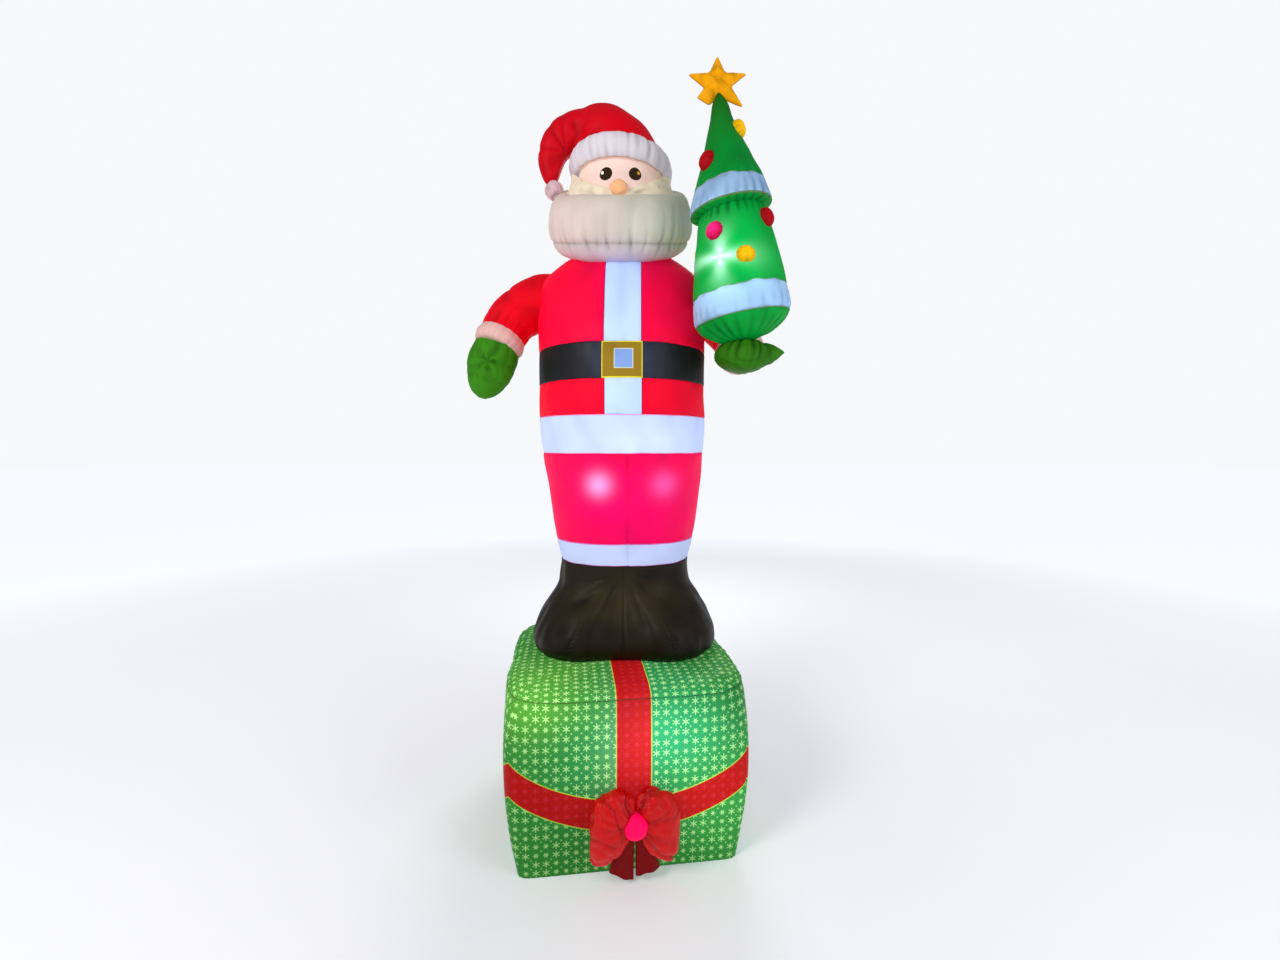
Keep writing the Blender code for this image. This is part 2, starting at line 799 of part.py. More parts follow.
def tree_base():
    tier_shares = (0.0, 0.023, 0.090, 0.168, 0.253, 0.400, 0.595, 0.793, 0.932, 1.0)
    shares = [lower_share(share) for share in tier_shares]
    return piece("tree_base", [tree_ring(LOWER_TIER, share) for share in shares], GREEN)


def tree_top():
    rings = [tree_ring(UPPER_TIER, TIER_JOIN, SEAM)]
    rings.append(tree_ring(UPPER_TIER, upper_share(0.021), fold=0.07))
    for share in (0.055, 0.199, 0.407, 0.616, 0.782, 0.928, 1.000):
        rings.append(tree_ring(UPPER_TIER, upper_share(share)))
    return piece("tree_top", rings, GREEN)


# Angle of each point of the star from the top, and its length as a share of the radius
STAR_POINTS = ((0, 0.98), (71, 1.09), (132, 1.23), (220, 1.00), (288, 1.09))


def tree_star():
    """A five-pointed cushion behind the tree's tip."""
    crown = TREE_LOW + TREE_HEIGHT
    lean = TREE_HEIGHT * math.tan(TREE_LEAN)
    centre = Vector((TREE_X - lean, TREE_Y + STAR_THICKNESS * 0.45, crown + STAR_RADIUS / 2))
    outline = []
    for number, (angle, length) in enumerate(STAR_POINTS):
        following = STAR_POINTS[(number + 1) % len(STAR_POINTS)][0]
        between = (angle + following + (360 if following < angle else 0)) / 2
        outline.append((math.radians(angle), length))
        outline.append((math.radians(between), 0.47))
    rings = []
    for scale, out in ((0.25, -0.5), (0.60, -0.42), (1.0, -0.06), (1.0, 0.06), (0.60, 0.42), (0.25, 0.5)):
        ring = []
        for angle, length in outline:
            reach = STAR_RADIUS * length * scale
            offset = Vector((math.sin(angle) * reach, out * STAR_THICKNESS, math.cos(angle) * reach))
            ring.append(centre + offset)
        rings.append(ring)
    return piece("tree_star", rings, AMBER)


# Tier, share of it from its foot, turn from the front, width and height as shares of the radius
BAUBLES = (
    ("bauble_yellow_top", UPPER_TIER, upper_share(0.6427), 58, 0.80, 1.05, YELLOW),
    ("bauble_red_top", UPPER_TIER, upper_share(0.4004), -52, 0.95, 1.15, RED),
    ("bauble_red_left", LOWER_TIER, lower_share(0.8090), -38, 0.95, 1.00, PINK),
    ("bauble_red_right", LOWER_TIER, lower_share(0.8577), 50, 0.95, 1.05, RED),
    ("bauble_yellow_middle", LOWER_TIER, lower_share(0.5653), 1, 1.00, 0.90, YELLOW),
    ("bauble_red_back", LOWER_TIER, lower_share(0.6433), 150, 0.95, 1.00, RED),
    ("bauble_yellow_back", LOWER_TIER, lower_share(0.7797), -130, 0.95, 0.95, YELLOW),
    ("bauble_red_back_top", UPPER_TIER, upper_share(0.4456), 165, 0.85, 1.00, RED),
)


def bauble(name, tier, share, degrees, width, height, colour):
    place, way = tree_point(tier, share, math.radians(degrees))
    turn = way.to_track_quat("Z", "Y").to_matrix()
    radii = (BAUBLE_RADIUS * width, BAUBLE_RADIUS * height, BAUBLE_RADIUS * 0.8)
    return ball(name, place, radii, colour, SMALL_SIDES, 4, turn=turn)


# Bow: everything is laid out from the knot, in the turned frame of the box's front


def bow_place(across, out, up):
    """A point of the bow: across the front, out from the cloth, and up from the knot."""
    front = box_half_width(BOW_HEIGHT)
    local = Vector((BOW_X + across, -front - out, BOW_HEIGHT + up))
    return Matrix.Rotation(BOX_TURN, 3, "Z") @ local


def bow_knot():
    centre = bow_place(0, LOOP_DEPTH * 0.62, 0)
    turn = Matrix.Rotation(BOX_TURN, 3, "Z") @ Matrix.Rotation(math.pi / 2, 3, "X")
    radii = (KNOT_RADIUS, KNOT_RADIUS, KNOT_RADIUS * 0.9)
    return ball("bow_knot", centre, radii, PINK, 10, 5, turn=turn)


def bow_loop(name, side):
    """A full, crumpled loop that starts narrow at the knot and droops outwards."""
    stations = (
        (0.00, 0.02, 0.52, 0.34),
        (0.25, 0.28, 0.88, 0.50),
        (0.55, 0.60, 1.00, 0.52),
        (0.82, 0.88, 0.92, 0.42),
        (1.00, 1.02, 0.62, 0.20),
    )
    rings = []
    for share in spread(0.0, 1.0, 6):
        out, height, depth = along(stations, share)
        ring = []
        for corner in range(10):
            angle = 2 * math.pi * corner / 10
            fold = 1 - 0.09 * (corner % 2)
            across = side * LOOP_LENGTH * out
            forward = LOOP_DEPTH * (0.42 + depth * math.cos(angle) * fold)
            middle = LOOP_RISE - (LOOP_RISE + LOOP_DROP) * share
            up = middle + LOOP_HEIGHT / 2 * height * math.sin(angle) * fold
            ring.append(bow_place(across, forward, up))
        rings.append(ring)
    return piece(name, rings, RED)


def bow_tail(name, side, length, tip):
    """A flat end of the ribbon that hangs from the knot, cut at a slant."""
    rings = []
    for share in spread(0.0, 1.0, 5):
        half = TAIL_WIDTH / 2 * (0.55 + 0.45 * share)
        middle = side * TAIL_WIDTH * (0.30 + 0.24 * share)
        ring = []
        for corner in range(SMALL_SIDES):
            angle = 2 * math.pi * corner / SMALL_SIDES
            across = middle + half * math.cos(angle)
            slant = tip * side * math.cos(angle) * share
            forward = LOOP_DEPTH * (0.42 + 0.14 * math.sin(angle) - 0.10 * share)
            ring.append(bow_place(across, forward, -KNOT_RADIUS * 0.465 - length * share + slant))
        rings.append(ring)
    return piece(name, rings, DARK_RED)


def build():
    clear_scene()
    box = gift_box()
    boot("boot_right", -1)
    boot("boot_left", 1)
    band("trouser_cuffs", BOOTS_TOP, LEG_CUFFS_TOP, 3, WHITE)
    band("trousers", LEG_CUFFS_TOP, TROUSERS_TOP, 5, RED)
    band("coat_hem", TROUSERS_TOP, HEM_TOP, 3, WHITE)
    band("coat_skirt", HEM_TOP, SKIRT_TOP, 3, RED)
    band("belt", SKIRT_TOP, BELT_TOP, 3, BLACK)
    coat = band("coat", BELT_TOP, COAT_TOP, 9, RED)

    face = head()
    red_hat = hat()
    brim = hat_brim()
    pompom = ball("hat_pompom", pompom_centre(), (POMPOM_RADIUS,) * 3, WHITE, 12, 7, 0.08)
    seat(pompom, red_hat)
    chin = beard()
    seat(chin, face, coat)
    cheeks = moustache()
    seat(cheeks, face, chin, brim)
    seat(nose(), face, cheeks)
    seat(pompom, chin)

    right_sleeve = sleeve("sleeve_right", RIGHT_ARM)
    seat(right_sleeve, coat)
    left_sleeve = sleeve("sleeve_left", LEFT_ARM)
    seat(left_sleeve, coat)
    right_cuff = arm_cuff("arm_cuff_right", RIGHT_ARM)
    left_cuff = arm_cuff("arm_cuff_left", LEFT_ARM)
    seat(mitten_right(), right_cuff, right_sleeve)
    hand = mitten_left()

    lower = tree_base()
    seat(left_cuff, lower)
    upper = tree_top()
    seat(hand, left_cuff, left_sleeve, lower)
    seat(tree_star(), upper)
    for row in BAUBLES:
        seat(bauble(*row), upper if row[1] is UPPER_TIER else lower)

    knot = bow_knot()
    right = bow_loop("bow_loop_right", -1)
    seat(right, box, knot)
    left = bow_loop("bow_loop_left", 1)
    seat(left, box, knot, right)
    seat(bow_tail("bow_tail_right", -1, TAIL_LENGTH * 1.05, 0.018), box, knot, right, left)
    seat(bow_tail("bow_tail_left", 1, TAIL_LENGTH, 0.01), box, knot, right, left)


build()
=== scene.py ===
# %% [markdown]
# # An inflated garden Santa on a gift box
# The real thing is thin nylon cloth, sewn into bags that a fan keeps full of air. Lamps inside make the
# cloth glow. The exact solids are loaded first as a fixed frame. Each soft piece is then made again here,
# with many more faces, so that its seams, puckers and folds can show.

# %% Load the frame
import json
import math

import bpy
import numpy as np
from mathutils import Matrix, Vector

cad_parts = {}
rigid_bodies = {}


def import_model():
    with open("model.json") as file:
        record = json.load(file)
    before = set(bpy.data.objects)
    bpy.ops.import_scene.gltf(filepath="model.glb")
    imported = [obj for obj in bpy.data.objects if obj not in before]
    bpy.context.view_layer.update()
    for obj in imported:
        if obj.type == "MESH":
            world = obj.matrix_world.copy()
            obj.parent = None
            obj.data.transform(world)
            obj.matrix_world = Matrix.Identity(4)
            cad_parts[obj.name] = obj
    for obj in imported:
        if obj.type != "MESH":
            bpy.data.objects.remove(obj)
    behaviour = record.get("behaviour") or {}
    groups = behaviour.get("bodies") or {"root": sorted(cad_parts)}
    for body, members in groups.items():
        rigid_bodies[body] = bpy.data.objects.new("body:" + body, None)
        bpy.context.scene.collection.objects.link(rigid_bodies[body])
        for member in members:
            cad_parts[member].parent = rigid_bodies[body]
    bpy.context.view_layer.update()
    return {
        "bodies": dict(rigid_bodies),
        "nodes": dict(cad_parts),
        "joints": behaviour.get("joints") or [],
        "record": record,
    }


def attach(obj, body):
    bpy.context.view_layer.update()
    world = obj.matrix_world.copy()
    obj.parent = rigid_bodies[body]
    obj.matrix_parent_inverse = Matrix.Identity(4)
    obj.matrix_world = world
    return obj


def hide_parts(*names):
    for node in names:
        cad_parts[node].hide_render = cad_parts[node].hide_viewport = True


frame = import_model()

# %% [markdown]
# ## Camera, floor and light
# The camera stands at eye height and close by, so the box is seen a little from above and the hat from
# below. The light is soft and plain, because most of the brightness comes from the lamps in the cloth.

# %% Camera
scene = bpy.context.scene
EYE = Vector((0.086, -2.376, 1.5))
lens_data = bpy.data.cameras.new("camera")
lens_data.sensor_fit = "HORIZONTAL"
lens_data.sensor_width = 36.0
lens_data.lens = 15.75
lens_data.shift_y = -35 / 1280
camera = bpy.data.objects.new("camera", lens_data)
camera.location = EYE
camera.rotation_euler = (math.radians(90), 0, 0)
scene.collection.objects.link(camera)
scene.camera = camera
scene.view_settings.view_transform = "Standard"
print("camera at", tuple(round(v, 3) for v in EYE))

# %% World and lamps
world = bpy.data.worlds.new("studio")
world.use_nodes = True
scene.world = world
world_tree = world.node_tree
dim = world_tree.nodes["Background"]
dim.inputs["Color"].default_value = (0.86, 0.90, 1.0, 1)
dim.inputs["Strength"].default_value = 0.34
pale = world_tree.nodes.new("ShaderNodeBackground")
pale.inputs["Color"].default_value = (0.93, 0.94, 0.96, 1)
pale.inputs["Strength"].default_value = 1.0
seen = world_tree.nodes.new("ShaderNodeLightPath")
choose = world_tree.nodes.new("ShaderNodeMixShader")
world_tree.links.new(seen.outputs["Is Camera Ray"], choose.inputs[0])
world_tree.links.new(dim.outputs[0], choose.inputs[1])
world_tree.links.new(pale.outputs[0], choose.inputs[2])
world_tree.links.new(choose.outputs[0], world_tree.nodes["World Output"].inputs[0])


def soft_lamp(name, place, target, size, power, colour):
    """A large soft lamp that looks at a point."""
    data = bpy.data.lights.new(name, "AREA")
    data.shape = "DISK"
    data.size = size
    data.energy = power
    data.color = colour
    lamp = bpy.data.objects.new(name, data)
    lamp.location = place
    way = Vector(target) - Vector(place)
    lamp.rotation_euler = way.to_track_quat("-Z", "Y").to_euler()
    scene.collection.objects.link(lamp)
    return lamp


soft_lamp("lamp_left", (-2.6, -3.2, 3.4), (0, 0, 1.5), 1.8, 92, (1.0, 0.97, 0.93))
soft_lamp("lamp_right", (2.8, -2.6, 2.4), (0, 0, 1.5), 2.2, 38, (0.9, 0.95, 1.0))
soft_lamp("lamp_back", (0.5, 3.4, 3.4), (0, 0, 1.6), 2.4, 60, (1.0, 1.0, 1.0))
print("lamps", 3)

# %% [markdown]
# ## Tools for soft shells
# Nearly every piece is a loft: rings of points along a line, joined by four-sided faces. Working on
# whole grids of points with numpy lets one line of code pinch a seam or fold a pleat along it.

# %% Smooth tables and rings


def table(stations, shares):
    """Values on a smooth curve through rows of (share, value, value...)."""
    rows = np.array(stations, float)
    shares = np.atleast_1d(np.asarray(shares, float))
    last = len(rows) - 1
    here = np.clip(np.searchsorted(rows[:, 0], shares, side="right") - 1, 0, last - 1)
    before = rows[np.maximum(here - 1, 0)]
    low, high = rows[here], rows[here + 1]
    after = rows[np.minimum(here + 2, last)]
    span = high[:, :1] - low[:, :1]
    t = (shares[:, None] - low[:, :1]) / span
    slope_in = (high - before) / (high[:, :1] - before[:, :1]) * span
    slope_out = (after - low) / (after[:, :1] - low[:, :1]) * span
    rise = high - low
    bend = (3 * rise - 2 * slope_in - slope_out) * t**2
    twist = (slope_in + slope_out - 2 * rise) * t**3
    return (low + slope_in * t + bend + twist)[:, 1:]


def circle(sides):
    """Even angles round a ring, as one row."""
    return (np.arange(sides) / sides * 2 * np.pi)[None, :]


def unit(ways):
    return ways / np.maximum(np.linalg.norm(ways, axis=-1, keepdims=True), 1e-12)


def level_rings(x, y, z, half, front, back, power, sides, valley=0.0):
    """Level rings, one for each row of the sizes, starting at the back and going round."""
    rows = len(np.atleast_1d(z))
    x, half, front, back, power, valley = (
        np.broadcast_to(np.asarray(v, float), (rows,))[:, None]
        for v in (x, half, front, back, power, valley)
    )
    turn = (np.arange(sides) / sides * 2 * np.pi + np.pi / 2)[None, :]
    across, deep = np.cos(turn), np.sin(turn)
    size = (np.abs(across) ** power + np.abs(deep) ** power) ** (-1 / power)
    dent = 1 - valley * np.exp(-((np.abs(size * across) ** (power / 2) / 0.22) ** 2))
    depth = np.where(deep > 0, back, front)
    grid = np.empty((rows, sides, 3))
    grid[..., 0] = x + half * size * across
    grid[..., 1] = y + depth * size * deep * dent
    grid[..., 2] = np.atleast_1d(z)[:, None]
    return grid


def tube_rings(stations, rows, sides, up=(0, 1, 0), shares=None):
    """Rings square to a smooth spine through (share, x, y, z, half width, half depth)."""
    shares = np.linspace(0, 1, rows) if shares is None else shares
    values = table(stations, shares)
    ahead = table(stations, np.minimum(shares + 0.04, 1))[:, :3]
    back = table(stations, np.maximum(shares - 0.04, 0))[:, :3]
    way = unit(ahead - back)
    up = np.array(up, float)
    deep = unit(up - way * (way @ up)[:, None])
    wide = np.cross(deep, way)
    turn = np.arange(sides) / sides * 2 * np.pi
    out = wide[:, None] * np.cos(turn)[None, :, None] * values[:, 3][:, None, None]
    out = out + deep[:, None] * np.sin(turn)[None, :, None] * values[:, 4][:, None, None]
    return values[:, None, :3] + out


print("check of the table:", table(((0, 1), (1, 2), (2, 3)), 0.5)[0])

# %% Folds, lumps and grooves


def outward(grid):
    """The way out of a grid of rings at each point."""
    around = np.roll(grid, -1, 1) - np.roll(grid, 1, 1)
    up = np.gradient(grid, axis=0)
    ways = unit(np.cross(around, up))
    middle = grid.mean(axis=(0, 1))
    facing = np.sign(np.sum(ways * (grid - middle)))
    return ways * (facing if facing else 1)


def puff(grid, height):
    """Move a grid out along its own normals by a height at each point."""
    return grid + outward(grid) * np.broadcast_to(height, grid.shape[:2])[..., None]


def lumps(points, size, seed, waves=10):
    """Soft random hills between about -1 and 1, some size apart."""
    rng = np.random.default_rng(seed)
    total = np.zeros(points.shape[:-1])
    for _ in range(waves):
        way = unit(rng.normal(size=3))
        total += np.sin(points @ way * (2 * np.pi / size * rng.uniform(0.7, 1.4)) + rng.uniform(0, 6.3))
    return total / math.sqrt(waves)


def creases(points, size, seed):
    """Sharp valleys between soft hills, as in crumpled cloth: 0 on the hills, -1 in the valleys."""
    return -np.exp(-((lumps(points, size, seed) / 0.22) ** 2))


def pleats(turn, count, seed):
    """Uneven pleats round a gathered edge: -1 in the folds, 0 between them."""
    rng = np.random.default_rng(seed)
    wander = sum(rng.uniform(0.15, 0.6) * np.sin(k * turn + rng.uniform(0, 6.3)) for k in (2, 3, 5))
    depth = 0.7 + 0.3 * np.sin(turn * 3.1 + rng.uniform(0, 6.3))
    return -depth * (0.5 + 0.5 * np.cos(count * turn + 2.2 * wander)) ** 2


def groove(points, start, end, width):
    """1 along a straight line between two points, fading over a width."""
    start, end = np.array(start, float), np.array(end, float)
    line = end - start
    share = np.clip((points - start) @ line / (line @ line), 0, 1)
    gap = np.linalg.norm(points - (start + share[..., None] * line), axis=-1)
    return np.exp(-((gap / width) ** 2))


def near(values, place, width):
    return np.exp(-(((values - place) / width) ** 2))


print("a groove on its line is", round(float(groove(np.zeros((1, 3)), (0, 0, 0), (1, 0, 0), 1)[0]), 2))

# %% From a grid to a piece


def measure(mesh, kind, what, width=3):
    """One kind of value from every vertex or face of a mesh, as rows."""
    flat = np.empty(len(getattr(mesh, kind)) * width)
    getattr(mesh, kind).foreach_get(what, flat)
    return flat.reshape(-1, width) if width > 1 else flat


def shell(name, grid, loop=False):
    """A closed mesh from a grid of rings. Its ends get a middle point, or its last ring meets its first."""
    rows, sides = grid.shape[:2]
    here = np.arange(sides)[None, :]
    there = (here + 1) % sides
    row = np.arange(rows if loop else rows - 1)[:, None]
    above = (row + 1) % rows
    corners = [row * sides + here, row * sides + there, above * sides + there, above * sides + here]
    faces = np.stack([np.broadcast_to(c, (len(row), sides)).ravel() for c in corners], 1).tolist()
    points = grid.reshape(-1, 3)
    if not loop:
        points = np.vstack([points, grid[0].mean(0), grid[-1].mean(0)])
        foot, head, top = rows * sides, rows * sides + 1, (rows - 1) * sides
        faces += [[(k + 1) % sides, k, foot] for k in range(sides)]
        faces += [[top + k, top + (k + 1) % sides, head] for k in range(sides)]
    mesh = bpy.data.meshes.new(name)
    mesh.from_pydata(points.tolist(), [], faces)
    return place_shell(name, mesh)


def place_shell(name, mesh):
    """Put a closed mesh in the scene, with its faces outwards and smooth."""
    normals, centres = measure(mesh, "polygons", "normal"), measure(mesh, "polygons", "center")
    areas = measure(mesh, "polygons", "area", 1)
    if np.sum(normals * (centres - centres.mean(0)), axis=1) @ areas < 0:
        mesh.flip_normals()
    mesh.shade_smooth()
    # Every shell starts with no painted shade in its folds.
    mesh.attributes.new("fold_shade", "FLOAT", "POINT").data.foreach_set("value", np.ones(len(mesh.vertices)))
    thing = bpy.data.objects.new(name, mesh)
    scene.collection.objects.link(thing)
    return thing


def darken(thing, height, deep=0.006, most=0.45):
    """Paint shade into the cloth's valleys: the colour is darker where the height dips, as little light comes
    in or out there.
    """
    fold_shades = thing.data.attributes["fold_shade"].data
    fold_shade = np.ones(len(fold_shades))
    fold_shade[: np.size(height)] = 1 - most * np.clip(-np.ravel(height) / deep, 0, 1)
    fold_shades.foreach_set("value", fold_shade)


def soft_shell(name, grid, height, loop=False, deep=0.006, most=0.45):
    """A shell moved out by a height at each point, with painted shade in its valleys."""
    height = np.broadcast_to(height, grid.shape[:2])
    thing = shell(name, puff(grid, height), loop)
    darken(thing, height, deep, most)
    return thing


def light_up(thing, glow, hot=(0, 0, 0)):
    """Store at each point how much light the cloth gives off: lamp light that comes through it, painted
    highlights, and any bare lamp spot.
    """
    count = len(thing.data.vertices)
    for name, value in (("glow", glow), ("hot", hot)):
        colours = np.ones((count, 4), np.float32)
        colours[:, :3] = np.broadcast_to(np.asarray(value, np.float32), (count, 3))
        layer = thing.data.attributes.new(name, "FLOAT_COLOR", "POINT")
        layer.data.foreach_set("color", colours.ravel())


def places_of(thing):
    """The piece's points as rows of x, y, z."""
    return measure(thing.data, "vertices", "co")


def lamp_at(points, place, reach):
    """How near each point is to a lamp: 1 at the lamp, fading over a reach."""
    return np.exp(-np.sum(((points - np.array(place)) / reach) ** 2, axis=-1))[:, None]


def fill_with_air(thing, hold, cap, pressure=4.0, slack=0.06, frames=20):
    """Blow a shell up with Blender's Cloth. Held points stay, and no point moves further than the cap."""
    start = places_of(thing)
    group = thing.vertex_groups.new(name="held")
    for number, weight in enumerate(hold):
        if weight > 0.01:
            group.add([number], float(weight), "REPLACE")
    air = thing.modifiers.new("air", "CLOTH")
    air.settings.vertex_group_mass = "held"
    air.settings.use_pressure = True
    air.settings.uniform_pressure_force = pressure
    air.settings.effector_weights.gravity = 0
    air.settings.shrink_min = -slack
    air.settings.quality = 6
    air.settings.bending_stiffness = 0.05
    air.point_cache.frame_end = frames
    for frame in range(1, frames + 1):
        scene.frame_set(frame)
    blown = thing.evaluated_get(bpy.context.evaluated_depsgraph_get())
    move = measure(blown.data, "vertices", "co") - start
    length = np.linalg.norm(move, axis=1, keepdims=True)
    move = move * np.tanh(length / cap) * cap / np.maximum(length, 1e-9)
    thing.modifiers.remove(air)
    thing.vertex_groups.clear()
    thing.data.vertices.foreach_set("co", (start + move).ravel())
    thing.data.update()
    scene.frame_set(1)
    finer = thing.modifiers.new("finer", "SUBSURF")
    finer.levels = finer.render_levels = 1
    thing.data = bpy.data.meshes.new_from_object(thing.evaluated_get(bpy.context.evaluated_depsgraph_get()))
    thing.modifiers.remove(finer)
    print(thing.name, "moved by", round(float(np.linalg.norm(move, axis=1).max()) * 1000, 1), "mm at most")
    return thing


finished = []


def hand_over(thing, node):
    """Tie a finished piece to the frame: it rides on the body and stands for its solid."""
    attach(thing, "root")
    if node:
        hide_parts(node)
    finished.append(thing.name)
    return thing


print("tools ready")

# %% [markdown]
# ## Nylon
# All cloth here is thin woven nylon, so one recipe serves every piece: a colour that varies a little, a
# fine weave and soft wrinkles as bump, and light that comes through from inside. The glow is stored on
# the mesh by `light_up`, and the recipe multiplies it with the cloth's own colour.

# %% The nylon recipe


def linear(r, g, b):
    """A colour as seen on a screen, 0 to 255, as the linear values that a shader wants."""
    values = [v / 255 for v in (r, g, b)]
    return tuple(v / 12.92 if v <= 0.04045 else ((v + 0.055) / 1.055) ** 2.4 for v in values)


class Wire:
    """A value in a material. A sum written with it adds the math nodes, and | takes the larger."""

    def __init__(self, cloth, socket):
        self.cloth, self.socket = cloth, socket

    def within(self, low, high, soft=0.001):
        """1 where a value lies between two limits."""
        enter, leave = self * (1 / soft) + (0.5 - low / soft), self * (-1 / soft) + (0.5 + high / soft)
        limit = self.cloth.math("MINIMUM", enter, leave)
        return Wire(self.cloth, self.cloth.add("ShaderNodeClamp", {0: limit}).outputs[0])

    def __rsub__(self, other):
        return self.cloth.math("SUBTRACT", other, self)

    def __abs__(self):
        return self.cloth.math("ABSOLUTE", self)


def operator(name):
    return lambda self, other: self.cloth.math(name, self, other)


for sign, name in (
    ("add", "ADD"), ("sub", "SUBTRACT"), ("mul", "MULTIPLY"), ("truediv", "DIVIDE"), ("pow", "POWER"),
    ("or", "MAXIMUM"), ("gt", "GREATER_THAN"), ("lt", "LESS_THAN"),
):
    setattr(Wire, f"__{sign}__", operator(name))


class Tree:
    """A small helper around a node tree."""

    def add(self, kind, inputs=(), **settings):
        node = self.tree.nodes.new(kind)
        for name, value in settings.items():
            setattr(node, name, value)
        for name, value in dict(inputs).items():
            self.plug(value, node.inputs[name])
        return node

    def plug(self, value, socket):
        if isinstance(value, Wire):
            value = value.socket
        if isinstance(value, bpy.types.NodeSocket):
            self.tree.links.new(value, socket)
        elif isinstance(value, tuple) and len(value) == 3 and socket.type == "RGBA":
            socket.default_value = (*value, 1)
        else:
            socket.default_value = value


class Cloth(Tree):
    """One material and its nodes."""

    def __init__(self, name):
        self.material = bpy.data.materials.new(name)
        self.material.use_nodes = True
        self.tree = self.material.node_tree
        self.shader = self.tree.nodes["Principled BSDF"]
        self.place = self.add("ShaderNodeTexCoord").outputs["Object"]

    def math(self, operation, first, second=0.0):
        return Wire(self, self.add("ShaderNodeMath", {0: first, 1: second}, operation=operation).outputs[0])

    def vector(self, operation, first, second):
        return self.add("ShaderNodeVectorMath", {0: first, 1: second}, operation=operation).outputs[0]

    def mix(self, share, first, second):
        node = self.add("ShaderNodeMix", data_type="RGBA")
        self.plug(share, node.inputs[0])
        self.plug(first, node.inputs[6])
        self.plug(second, node.inputs[7])
        return node.outputs[2]

    def axes(self, vector):
        return [Wire(self, socket) for socket in self.add("ShaderNodeSeparateXYZ", {0: vector}).outputs]

    def noise(self, scale, detail=2.0, stretch=(1, 1, 1)):
        spot = self.vector("MULTIPLY", self.place, stretch)
        node = self.add("ShaderNodeTexNoise", {"Vector": spot, "Scale": scale, "Detail": detail})
        return Wire(self, node.outputs["Fac"])


def nylon(
    cloth,
    colour,
    roughness=0.55,
    wrinkle=0.3,
    wrinkle_scale=14.0,
    stretch=(1, 1, 1),
    gloss=0.08,
    deep=0.008,
    bare=1.0,
):
    """Finish a cloth: colour with painted shade in its folds, weave, wrinkles, and the lamp light that comes
    through.
    """
    # Painted shade in the folds, read from the mesh: it darkens the colour together with a random mottle and
    # the weave.
    fold_shade = cloth.add("ShaderNodeAttribute", attribute_name="fold_shade").outputs["Fac"]
    shade = (cloth.noise(7.0) * 0.16 + 0.92) * fold_shade
    threads = [
        cloth.add(
            "ShaderNodeTexWave",
            {"Vector": cloth.place, "Scale": 80.0, "Distortion": 0.4},
            bands_direction=way,
        ).outputs["Fac"]
        for way in ("DIAGONAL", "Z")
    ]
    weave = cloth.math("MULTIPLY", threads[0], threads[1])
    shade = weave * 0.03 + shade
    tinted = cloth.vector("SCALE", colour if not isinstance(colour, tuple) else colour, (0, 0, 0))
    scale_node = tinted.node
    cloth.plug(shade, scale_node.inputs["Scale"])
    cloth.plug(tinted, cloth.shader.inputs["Base Color"])
    fine = cloth.add("ShaderNodeBump", {"Height": weave, "Strength": 0.04, "Distance": 0.0004})
    folds = cloth.noise(wrinkle_scale, 3.0, stretch)
    soft = cloth.add(
        "ShaderNodeBump",
        {"Height": folds, "Strength": wrinkle, "Distance": deep, "Normal": fine.outputs[0]},
    )
    cloth.plug(soft.outputs[0], cloth.shader.inputs["Normal"])
    worn = cloth.noise(22.0) * 0.14 + (roughness - 0.07)
    cloth.plug(worn, cloth.shader.inputs["Roughness"])
    cloth.shader.inputs["Specular IOR Level"].default_value = gloss
    glow = cloth.add("ShaderNodeAttribute", attribute_name="glow").outputs["Color"]
    hot = cloth.add("ShaderNodeAttribute", attribute_name="hot").outputs["Color"]
    bare_light = cloth.vector("SCALE", hot, (0, 0, 0))
    cloth.plug(bare, bare_light.node.inputs["Scale"])
    through = cloth.vector("ADD", cloth.vector("MULTIPLY", tinted, glow), bare_light)
    cloth.plug(through, cloth.shader.inputs["Emission Color"])
    cloth.shader.inputs["Emission Strength"].default_value = 1.0
    return cloth.material


def plain_nylon(name, colour, **finish):
    cloth = Cloth(name)
    base = cloth.add("ShaderNodeRGB").outputs[0]
    base.default_value = (*colour, 1)
    return nylon(cloth, base, **finish)


print("recipe ready")

# %% Floor
floor_cloth = Cloth("pale_floor")
grain = floor_cloth.noise(3.0) * 0.02 + 0.9
floor_cloth.plug(grain, floor_cloth.shader.inputs["Base Color"])
floor_cloth.shader.inputs["Roughness"].default_value = 0.9
floor_cloth.shader.inputs["Specular IOR Level"].default_value = 0.1
spread = floor_cloth.add("ShaderNodeVectorMath", {0: floor_cloth.place}, operation="LENGTH").outputs["Value"]
far_share = floor_cloth.add(
    "ShaderNodeMapRange", {"Value": spread, "From Min": 1.0, "From Max": 7.0}
).outputs["Result"]
lit = floor_cloth.mix(far_share, (0.20, 0.21, 0.23), (0.66, 0.67, 0.70))
floor_cloth.plug(lit, floor_cloth.shader.inputs["Emission Color"])
floor_cloth.shader.inputs["Emission Strength"].default_value = 1.0
floor_mesh = bpy.data.meshes.new("floor")
FLOOR = 40.0
corners = [(-FLOOR, -FLOOR, 0), (FLOOR, -FLOOR, 0), (FLOOR, FLOOR, 0), (-FLOOR, FLOOR, 0)]
floor_mesh.from_pydata([(x, y, -0.001) for x, y, _ in corners], [], [(0, 1, 2, 3)])
floor_mesh.materials.append(floor_cloth.material)
floor = bpy.data.objects.new("floor", floor_mesh)
scene.collection.objects.link(floor)
print("floor", FLOOR * 2, "m wide")

# %% [markdown]
# ## The gift box
# Four printed panels and a top meet in sewn seams. Air rounds the panels, so the corners stay crisp only
# near the floor, where the weight of the box pulls them straight. The ribbon is printed, not tied.

# %% Box sizes and shape
SEAM = 0.0003
BOX_FOOT, BOX_RIM, BOX_BULGE = 0.397, 0.447, 0.008
BOX_RIM_HEIGHT, BOX_HEIGHT, BOX_STAND = 0.620, 0.650, 0.375
BOX_TURN = math.radians(7.4)


